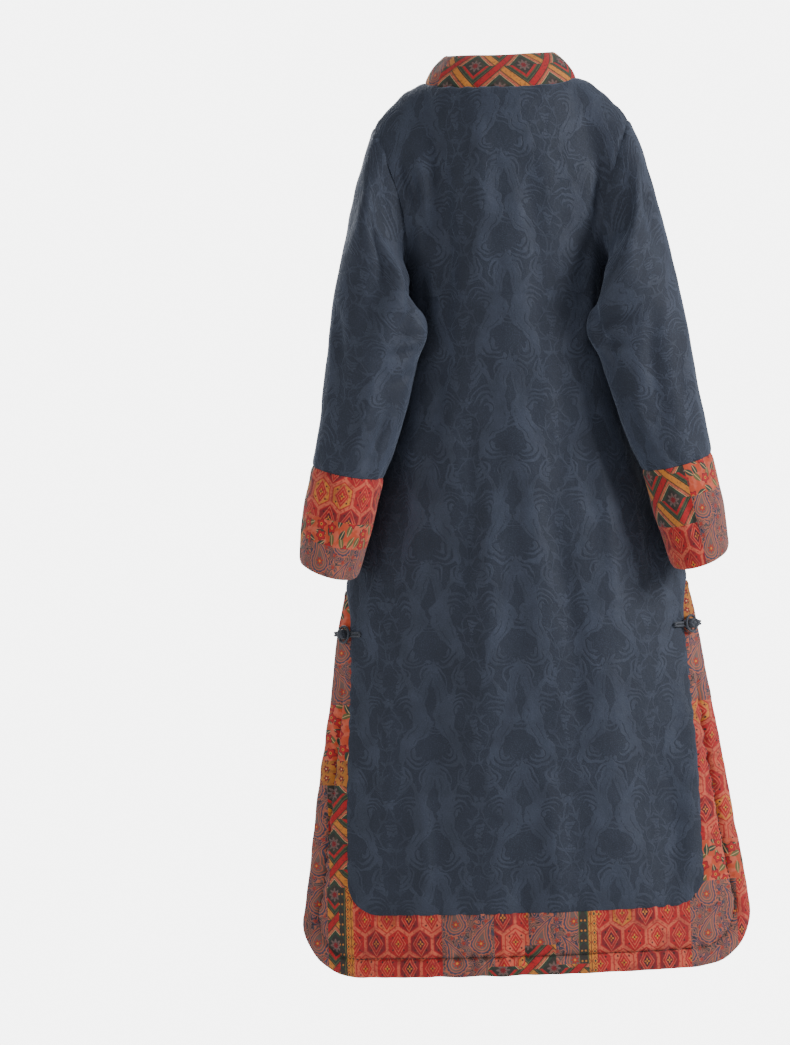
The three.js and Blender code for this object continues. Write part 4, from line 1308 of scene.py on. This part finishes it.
def makeBorder(name, halves, face, sign, creases, patches):
    points, cut = borderGrid(halves, face)
    along = lengthsAlong([line[-1] for line in points])
    cells = border["cells"]
    widths = [(line[-1] - line[0]).length for line in points]

    def detail(i, j, point):
        width = widths[i]
        fromSeam, fromEdge = width * j / cells, width * (1 - j / cells)
        stitched = smooth((width - quilting["fadeFrom"]) / quilting["fade"])
        depth = creaseDepth(creases, point.x, point.z) + undulation(point)
        depth += seamPull(fromSeam, along[i]) - border["edgeTurn"] * bell(fromEdge, edgeRoll)
        off = fromEdge - quilting["inset"]
        puckers = quilting["puckers"] * ripple(along[i], quiltRipple) * bell(off, quilting["puckerWidth"])
        depth += stitched * (puckers - quilting["groove"] * bell(off, quilting["grooveWidth"]))
        depth += quilting["rim"] * stitched * bell(fromEdge - quilting["rimInset"], quilting["rimWidth"])
        if face < 0 and abs(point.x) < 4 * endRoll:
            depth -= border["frontEdgeTurn"] * bell(point.x, endRoll)
        return depth

    moved = movedOut(points, sign, detail)
    for i, line in enumerate(moved):
        # the seam edge is tucked under the navy cloth, and the outer edge wanders a little
        outward = (line[-1] - line[0]).normalized()
        line[0] -= outward * border["tuckInward"] + Vector((0, face * border["tuckUnder"], 0))
        place = Vector((along[i] / border["wanderLength"], face * 7, halves[0][1] * 3))
        wander = border["wander"] * noise.noise(place)
        for j, point in enumerate(line):
            point += outward * (wander * (j / cells) ** 3)
    if face < 0:
        for point in moved[-1]:
            point.x = 0
    piece = gridMesh(name, moved, cut, sign, prints)
    flat = (max(widths) * border["fullness"] * mm, along[-1] * mm)
    facts = flat, sum(polygon.area for polygon in piece.data.polygons)
    paintPatches(piece, patches)
    stitchLine = []
    for line, width in zip(moved, widths):
        if width > quilting["stitchFrom"]:
            place = (1 - quilting["inset"] / width) * cells
            j = int(place)
            stitchLine.append(line[j].lerp(line[j + 1], place - j))
    stitchLines.append(stitchLine)
    return thickened(piece), facts


def cutAcross(edit, axis, value, low, high):
    # cuts the faces that value crosses, where the other axis lies between low and high
    other = 2 - axis
    low, high = low - border["cutMargin"], high + border["cutMargin"]
    faces = [f for f in edit.faces if low < f.calc_center_median()[other] / mm < high
             and min(v.co[axis] for v in f.verts) / mm < value < max(v.co[axis] for v in f.verts) / mm]
    if not faces:
        return
    edges = {e for f in faces for e in f.edges}
    verts = {v for f in faces for v in f.verts}
    place, direction = Vector((0, 0, 0)), Vector((0, 0, 0))
    place[axis], direction[axis] = value * mm, 1
    bmesh.ops.bisect_plane(edit, geom=[*faces, *edges, *verts], dist=1e-6, plane_co=place, plane_no=direction)


def paintPatches(piece, patches):
    # the mesh is cut along each patch's sides, then each face takes the cloth it lies in
    edit = bmesh.new()
    edit.from_mesh(piece.data)
    for patch in patches:
        for value in (patch["x1"], patch["x2"]):
            cutAcross(edit, 0, value, patch["z1"], patch["z2"])
        for value in (patch["z1"], patch["z2"]):
            cutAcross(edit, 2, value, patch["x1"], patch["x2"])
    for face in edit.faces:
        centre = face.calc_center_median() / mm
        for patch in patches:
            if patch["x1"] <= centre.x <= patch["x2"] and patch["z1"] <= centre.z <= patch["z2"]:
                face.material_index = printOrder.index(patch["cloth"])
                break
    edit.to_mesh(piece.data)
    edit.free()


# Patches of the borders, in millimetres across and up. Where two overlap, the first is on top.
backPatches = rowsOf(
    "cloth x1 x2 z1 z2",
    ("florals", 200, 320, -702, -600),
    ("paisley", 200, 320, -799, -702),
    ("florals", 200, 320, -871, -799),
    ("sprigs", 200, 320, -903, -871),
    ("lattice", 200, 254, -1034, -903),
    ("paisley", 254, 320, -1034, -903),
    ("paisley", 258, 320, -1160, -1034),
    ("lattice", 243, 258, -1160, -1034),
    ("leafColumn", 233.6, 243, -1160, -1034),
    ("goldColumn", 224.5, 233.6, -1160, -1034),
    ("lattice", -36, 4, -1160, -1111),
    ("lattice", -78, 52, -1160, -1137),
    ("hexagons", 110, 224.5, -1160, -1034),
    ("paisley", 42.5, 110, -1160, -1034),
    ("hexagons", -1.7, 42.5, -1160, -1034),
    ("paisley", -65.4, -1.7, -1160, -1034),
    ("leafColumn", -78.4, -65.4, -1160, -1034),
    ("goldColumn", -88.8, -78.4, -1160, -1034),
    ("hexagons", -211, -88.8, -1160, -1040),
    ("sprigs", -320, -200, -702, -600),
    ("paisley", -320, -200, -808, -702),
    ("hexagons", -320, -200, -988, -808),
    ("florals", -320, -200, -1040, -988),
    ("paisley", -273, -211, -1160, -1040),
    ("hexagons", -320, -273, -1160, -1040),
)
leftFrontPatches = rowsOf(
    "cloth x1 x2 z1 z2",
    ("hexagons", 200, 320, -760, -600),
    ("paisley", 200, 320, -850, -760),
    ("lattice", 200, 320, -960, -850),
    ("florals", 200, 320, -1040, -960),
    ("paisley", 214, 320, -1160, -1040),
    ("goldColumn", 205, 214, -1160, -1030),
    ("hexagons", 92, 205, -1160, -1030),
    ("leafColumn", 80, 92, -1160, -1030),
    ("paisley", 0, 80, -1160, -1030),
)
rightFrontPatches = rowsOf(
    "cloth x1 x2 z1 z2",
    ("paisley", -320, -200, -745, -600),
    ("florals", -320, -200, -830, -745),
    ("hexagons", -320, -200, -1000, -830),
    ("sprigs", -320, -200, -1040, -1000),
    ("lattice", -320, -212, -1160, -1040),
    ("leafColumn", -212, -200, -1160, -1030),
    ("paisley", -200, -128, -1160, -1030),
    ("hexagons", -128, -30, -1160, -1030),
    ("goldColumn", -30, -21, -1160, -1030),
    ("florals", -21, 0, -1160, -1030),
)
halfBorder = borderLines()
leftHalf, rightHalf = ([(line, side) for line in halfBorder] for side in (1, -1))
stitchLines = []
backBorder = makeBorder("backBorder", leftHalf + rightHalf[-2::-1], 1, -1, backCreases, backPatches)
leftBorder = makeBorder("leftFrontBorder", leftHalf, -1, 1, frontCreases, leftFrontPatches)
rightBorder = makeBorder("rightFrontBorder", rightHalf, -1, -1, frontCreases, rightFrontPatches)
print("borders made")


# Topstitching, laid along a line by a node tree
stitching = {"Stitch Length": 4.4, "Stitch Gap": 1.2, "Thread Radius": 0.75}
bead = {"Segments": 6, "Rings": 5, "Radius": 1}


def stitchTree():
    tree = bpy.data.node_groups.new("stitches along a line", "GeometryNodeTree")
    for name, way, kind in (("Geometry", "INPUT", "Geometry"), ("Stitch Length", "INPUT", "Float"),
                            ("Stitch Gap", "INPUT", "Float"), ("Thread Radius", "INPUT", "Float"),
                            ("Thread", "INPUT", "Material"), ("Geometry", "OUTPUT", "Geometry")):
        tree.interface.new_socket(name, in_out=way, socket_type=f"NodeSocket{kind}")

    def add(kind, output, settings=(), **options):
        # a node with its options, its sockets fed by settings, and one output as a wire
        node = tree.nodes.new(kind)
        for option, value in options.items():
            setattr(node, option, value)
        for slot, value in dict(settings).items():
            feed(node.inputs[slot], value)
        return Wire(node.outputs[output])

    entry = {name: add("NodeGroupInput", name) for name in ("Geometry", *stitching, "Thread")}
    length, radius = entry["Stitch Length"], entry["Thread Radius"]
    curve = add("GeometryNodeMeshToCurve", "Curve", {"Mesh": entry["Geometry"]})
    pitch = length + entry["Stitch Gap"]
    points = add("GeometryNodeResampleCurve", "Curve", {"Curve": curve, "Length": pitch}, mode="LENGTH")
    tangent = add("GeometryNodeInputTangent", 0)
    turn = add("FunctionNodeAlignRotationToVector", "Rotation", {"Vector": tangent})
    scale = add("ShaderNodeCombineXYZ", 0, {0: radius, 1: radius, 2: length * 0.5})
    stitch = add("GeometryNodeMeshUVSphere", "Mesh", bead)
    laid = add("GeometryNodeInstanceOnPoints", "Instances",
               {"Points": points, "Instance": stitch, "Rotation": turn, "Scale": scale})
    real = add("GeometryNodeRealizeInstances", "Geometry", {"Geometry": laid})
    painted = add("GeometryNodeSetMaterial", "Geometry", {"Geometry": real, "Material": entry["Thread"]})
    feed(tree.nodes.new("NodeGroupOutput").inputs["Geometry"], painted)
    return tree


def makeStitches(name, lines, tree):
    mesh = bpy.data.meshes.new(name)
    verts, edges = [], []
    for line in lines:
        first = len(verts)
        verts += [tuple(point * mm) for point in line]
        edges += [(k, k + 1) for k in range(first, len(verts) - 1)]
    mesh.from_pydata(verts, edges, [])
    piece = placed(name, mesh)
    modifier = piece.modifiers.new("stitches", "NODES")
    modifier.node_group = tree
    values = {size: value * mm for size, value in stitching.items()} | {"Thread": threadMaterial}
    for item in tree.interface.items_tree:
        if item.in_out == "INPUT" and item.name in values:
            modifier[item.identifier] = values[item.name]
    plainMesh(piece)
    return piece


borderStitching = makeStitches("borderStitching", stitchLines, stitchTree())
print("stitches made")


# Knot-and-loop fastenings of doubled cord. A bar's places are (x, face, lift), from the knot outwards.
bar = {"clearance": 0.6, "cord": 1.65, "half": 1.75, "seatReach": 2, "halvings": 30}
plait = {"leads": 3, "wraps": 2, "points": 96, "cord": 0.3, "core": 0.8, "weave": 0.28, "spare": 0.6}
loopOpening = {"turn": 0.42, "points": 16, "lift": 3}
frontFrog = {"radius": 5.6, "cord": 1.5, "x": 0, "topZ": -112, "step": 120, "count": 5,
             "knotBar": [(3, -1, 0), (14, -1, 0), (26, -1, 0), (38, -1, 0)],
             "loopBar": [(-7, -1, 2.6), (-13, -1, 1.2), (-20, -1, 0), (-29, -1, 0), (-38, -1, 0)]}
sideFrog = {"radius": 8, "cord": 1.9, "x": 222, "topZ": slitTopZ,
            "knotBar": [(219, 1, 0), (214, 1, 0), (209, 1, 0), (204, 1, 0)],
            "loopBar": [(228, 1, 3.4), (233, 1, 4), (233, -1, 3.4), (228, -1, 1), (220, -1, 0), (210, -1, 0)]}


def faceAt(x, z, face):
    # the place on the cloth's front or back at x and z; above the armpits it is searched for
    if z <= armpitZ:
        return skirtPoint(x, z, face)
    station = abs(x) / armpitX
    low, high = 0.0, 1.0
    for _ in range(bar["halvings"]):
        middle = (low + high) / 2
        if panelPoint(station, middle, face).z > z:
            low = middle
        else:
            high = middle
    return Vector((x, panelPoint(station, low, face).y, z))


def placeOn(x, z, face, lift=0):
    # a seat on the cloth, with the ways outward and upward from it
    reach = bar["seatReach"]
    along = faceAt(x + reach, z, face) - faceAt(x - reach, z, face)
    up = (faceAt(x, z + reach, face) - faceAt(x, z - reach, face)).normalized()
    out = up.cross(along).normalized() * face
    return {"point": faceAt(x, z, face), "out": out, "up": up, "lift": lift}


def roundRun(points, steps=5):
    # a smooth closed run through the points
    count = len(points)
    return [between(*(points[(i + k) % count] for k in (-1, 0, 1, 2)), step / steps)
            for i in range(count) for step in range(steps)]


def closedTube(edit, run, radius, sides=8):
    # a closed ring of cord; frames are carried along it and eased to meet where it starts
    count = len(run)
    tangents = [(run[(i + 1) % count] - run[i - 1]).normalized() for i in range(count)]
    normal = tangents[0].orthogonal().normalized()
    normals = []
    for tangent in tangents:
        normal = (normal - tangent * normal.dot(tangent)).normalized()
        normals.append(normal.copy())
    back = (normal - tangents[0] * normal.dot(tangents[0])).normalized()
    twist = math.atan2(tangents[0].dot(back.cross(normals[0])), back.dot(normals[0]))
    rings = []
    for i, (point, tangent, normal) in enumerate(zip(run, tangents, normals)):
        side = tangent.cross(normal)
        angles = [2 * math.pi * k / sides + twist * i / count for k in range(sides)]
        ring = [point + (normal * math.cos(angle) + side * math.sin(angle)) * radius for angle in angles]
        rings.append([edit.verts.new(place * mm) for place in ring])
    for here, there in zip(rings, rings[1:] + rings[:1]):
        for k in range(sides):
            edit.faces.new((here[k], here[(k + 1) % sides], there[(k + 1) % sides], there[k]))


def barRun(places):
    # there along one side of the bar, round its end and back along the other
    def lying(place, side):
        height = bar["clearance"] + bar["cord"] + place["lift"]
        return place["point"] + place["out"] * height + place["up"] * side

    last, before = places[-1], places[-2]
    tip = (last["point"] - before["point"]).normalized() * bar["half"]
    run = [lying(place, bar["half"]) for place in places]
    run.append(lying(last, 0) + tip)
    return run + [lying(place, -bar["half"]) for place in reversed(places)]


def cordPiece(name, edit):
    bmesh.ops.recalc_face_normals(edit, faces=edit.faces)
    mesh = bpy.data.meshes.new(name)
    edit.to_mesh(mesh)
    edit.free()
    mesh.materials.append(cordMaterial)
    mesh.shade_smooth()
    return placed(name, mesh)


def lengthOf(run):
    return sum((b - a).length for a, b in zip(run, run[1:] + run[:1]))


def wovenBall(edit, centre, out, up, radius):
    # a cord wound over a round core in a three-lead plait
    side = out.cross(up)
    cordRadius = plait["cord"] * radius
    run = []
    for k in range(plait["points"]):
        t = 2 * math.pi * k / plait["points"]
        latitude = math.sin(plait["leads"] * t)
        reach = radius - cordRadius + plait["weave"] * cordRadius * math.cos(2 * plait["leads"] * t)
        ring, turn = reach * math.cos(latitude), plait["wraps"] * t
        run.append(centre + up * (reach * math.sin(latitude)) + side * (ring * math.cos(turn))
                   + out * (ring * math.sin(turn)))
    closedTube(edit, run, cordRadius)
    core = bmesh.ops.create_icosphere(edit, subdivisions=2, radius=plait["core"] * radius * mm)
    bmesh.ops.translate(edit, verts=core["verts"], vec=centre * mm)
    return lengthOf(run)


def loopRing(frog, seat, towards):
    # the loop's cord round the ball, open towards its bar
    point, out = seat["point"], seat["out"]
    radius = frog["radius"] + plait["spare"] + frog["cord"]
    height = bar["clearance"] + loopOpening["lift"] + seamGap + frog["cord"]
    towards = (towards - out * towards.dot(out)).normalized()
    across = out.cross(towards)
    start, count = loopOpening["turn"], loopOpening["points"]
    angles = [start + (2 * math.pi - 2 * start) * k / count for k in range(1, count)]
    return [point + out * height + towards * (radius * math.cos(angle)) + across * (radius * math.sin(angle))
            for angle in angles]


def makeFrog(name, frog, z, side, face):
    seat = placeOn(side * frog["x"], z, face)
    knotBar, loopBar = ([placeOn(side * x, z, where, lift) for x, where, lift in frog[bars]]
                        for bars in ("knotBar", "loopBar"))
    knotEdit, loopEdit = bmesh.new(), bmesh.new()
    centre = seat["point"] + seat["out"] * (frog["radius"] + bar["clearance"])
    wound = wovenBall(knotEdit, centre, seat["out"], seat["up"], frog["radius"])
    knotRun = roundRun(barRun(knotBar))
    closedTube(knotEdit, knotRun, bar["cord"])
    ring, run = loopRing(frog, seat, loopBar[0]["point"] - seat["point"]), barRun(loopBar)
    if (run[0] - ring[0]).length < (run[0] - ring[-1]).length:
        ring.reverse()
    loopRun = roundRun(ring + run)
    closedTube(loopEdit, loopRun, min(frog["cord"], bar["cord"]))
    print(f"{name}: cord {wound:.0f} mm in the ball, {lengthOf(knotRun):.0f} mm in its bar, "
          f"{lengthOf(loopRun):.0f} mm in the loop")
    return cordPiece(f"{name}Knot", knotEdit), cordPiece(f"{name}Loop", loopEdit)


frogs = {}
for i in range(frontFrog["count"]):
    z = frontFrog["topZ"] - i * frontFrog["step"]
    frogs[f"front_frog_{i + 1}"] = makeFrog(f"frontFrog{i + 1}", frontFrog, z, 1, -1)
for word, side in (("left", 1), ("right", -1)):
    frogs[f"{word}_side_frog"] = makeFrog(f"{word}SideFrog", sideFrog, sideFrog["topZ"], side, 1)
print("fastenings made")


# What each piece stands for, how it was cut and what holds it
clothPieces = [
    (backPanel, "back_panel", "navy_damask", ["collar", "left_front", "right_front"]),
    (leftFront, "left_front", "navy_damask", ["collar", "back_panel"]),
    (rightFront, "right_front", "navy_damask", ["collar", "back_panel"]),
    (leftSleeve, "left_sleeve", "navy_damask", ["back_panel", "left_front"]),
    (rightSleeve, "right_sleeve", "navy_damask", ["back_panel", "right_front"]),
    (leftCuff, "left_cuff", "patchwork_print", ["left_sleeve"]),
    (rightCuff, "right_cuff", "patchwork_print", ["right_sleeve"]),
    (standCollar, "collar", "patchwork_print", ["back_panel", "left_front", "right_front"]),
    (backBorder, "back_border", "patchwork_print", ["back_panel"]),
    (leftBorder, "left_front_border", "patchwork_print", ["left_front"]),
    (rightBorder, "right_front_border", "patchwork_print", ["right_front"]),
]
for (piece, (flat, area)), node, slot, holders in clothPieces:
    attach(piece, "root")
    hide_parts(node)
    print(f"{piece.name}: flat {flat[0] / mm:.0f} x {flat[1] / mm:.0f} mm, {area:.4f} square metres")
for node, pieces in frogs.items():
    for piece, part in zip(pieces, ("knot", "loop")):
        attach(piece, "root")
        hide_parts(f"{node}_{part}")
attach(borderStitching, "root")


# Room, light and camera, in metres
room = {"floorZ": -1.75, "floorSize": 5, "surround": 0.58, "backdrop": 6}
lights = rowsOf(
    "name place size power",
    ("keyLight", (-3.7, 1.5, 1.1), 1.2, 262),
    ("fillLight", (3.0, 2.9, 0.2), 2.2, 78),
    ("frontLight", (1.2, -3.0, 1.2), 2.0, 90),
)
lightTarget = Vector((0, 0, -0.55))
camera = {"distance": 4.6, "aimZ": -0.569, "frameHeight": 1.337, "coatBack": 0.09, "roll": -1.85,
          "coatRight": 0.1525, "sensor": 36}


def makeRoom():
    bpy.ops.mesh.primitive_plane_add(size=room["floorSize"], location=(0, 0, room["floorZ"]))
    floor = bpy.context.object
    floor.name = "floor"
    finish = {"Base Color": inks["floor"], "Roughness": 0.9}
    floor.data.materials.append(makeMaterial("paleFloor", None, 0, finish))
    world = bpy.data.worlds.new("studio")
    bpy.context.scene.world = world
    world.use_nodes = True
    tree = world.node_tree
    background = tree.nodes["Background"]
    background.inputs["Color"].default_value = (1, 1, 1, 1)
    seen = Wire(tree.nodes.new("ShaderNodeLightPath").outputs["Is Camera Ray"])
    feed(background.inputs["Strength"], seen * (room["backdrop"] - room["surround"]) + room["surround"])


def makeLights():
    for row in lights:
        data = bpy.data.lights.new(row["name"], "AREA")
        data.size = row["size"]
        data.energy = row["power"]
        lamp = placed(row["name"], data)
        lamp.location = row["place"]
        lamp.rotation_euler = (lightTarget - lamp.location).to_track_quat("-Z", "Y").to_euler()


def makeCamera():
    data = bpy.data.cameras.new("camera")
    data.sensor_width = camera["sensor"]
    data.sensor_fit = "AUTO"
    data.lens = data.sensor_width * (camera["distance"] - camera["coatBack"]) / camera["frameHeight"]
    data.shift_x = -camera["coatRight"] / camera["frameHeight"]
    eye = placed("camera", data)
    eye.location = (0, camera["distance"], camera["aimZ"])
    look = Vector((0, -1, 0)).to_track_quat("-Z", "Y").to_matrix()
    eye.rotation_euler = (look @ Matrix.Rotation(math.radians(camera["roll"]), 3, "Z")).to_euler()
    bpy.context.scene.camera = eye


makeRoom()
makeLights()
makeCamera()
print("room, lights and camera made")
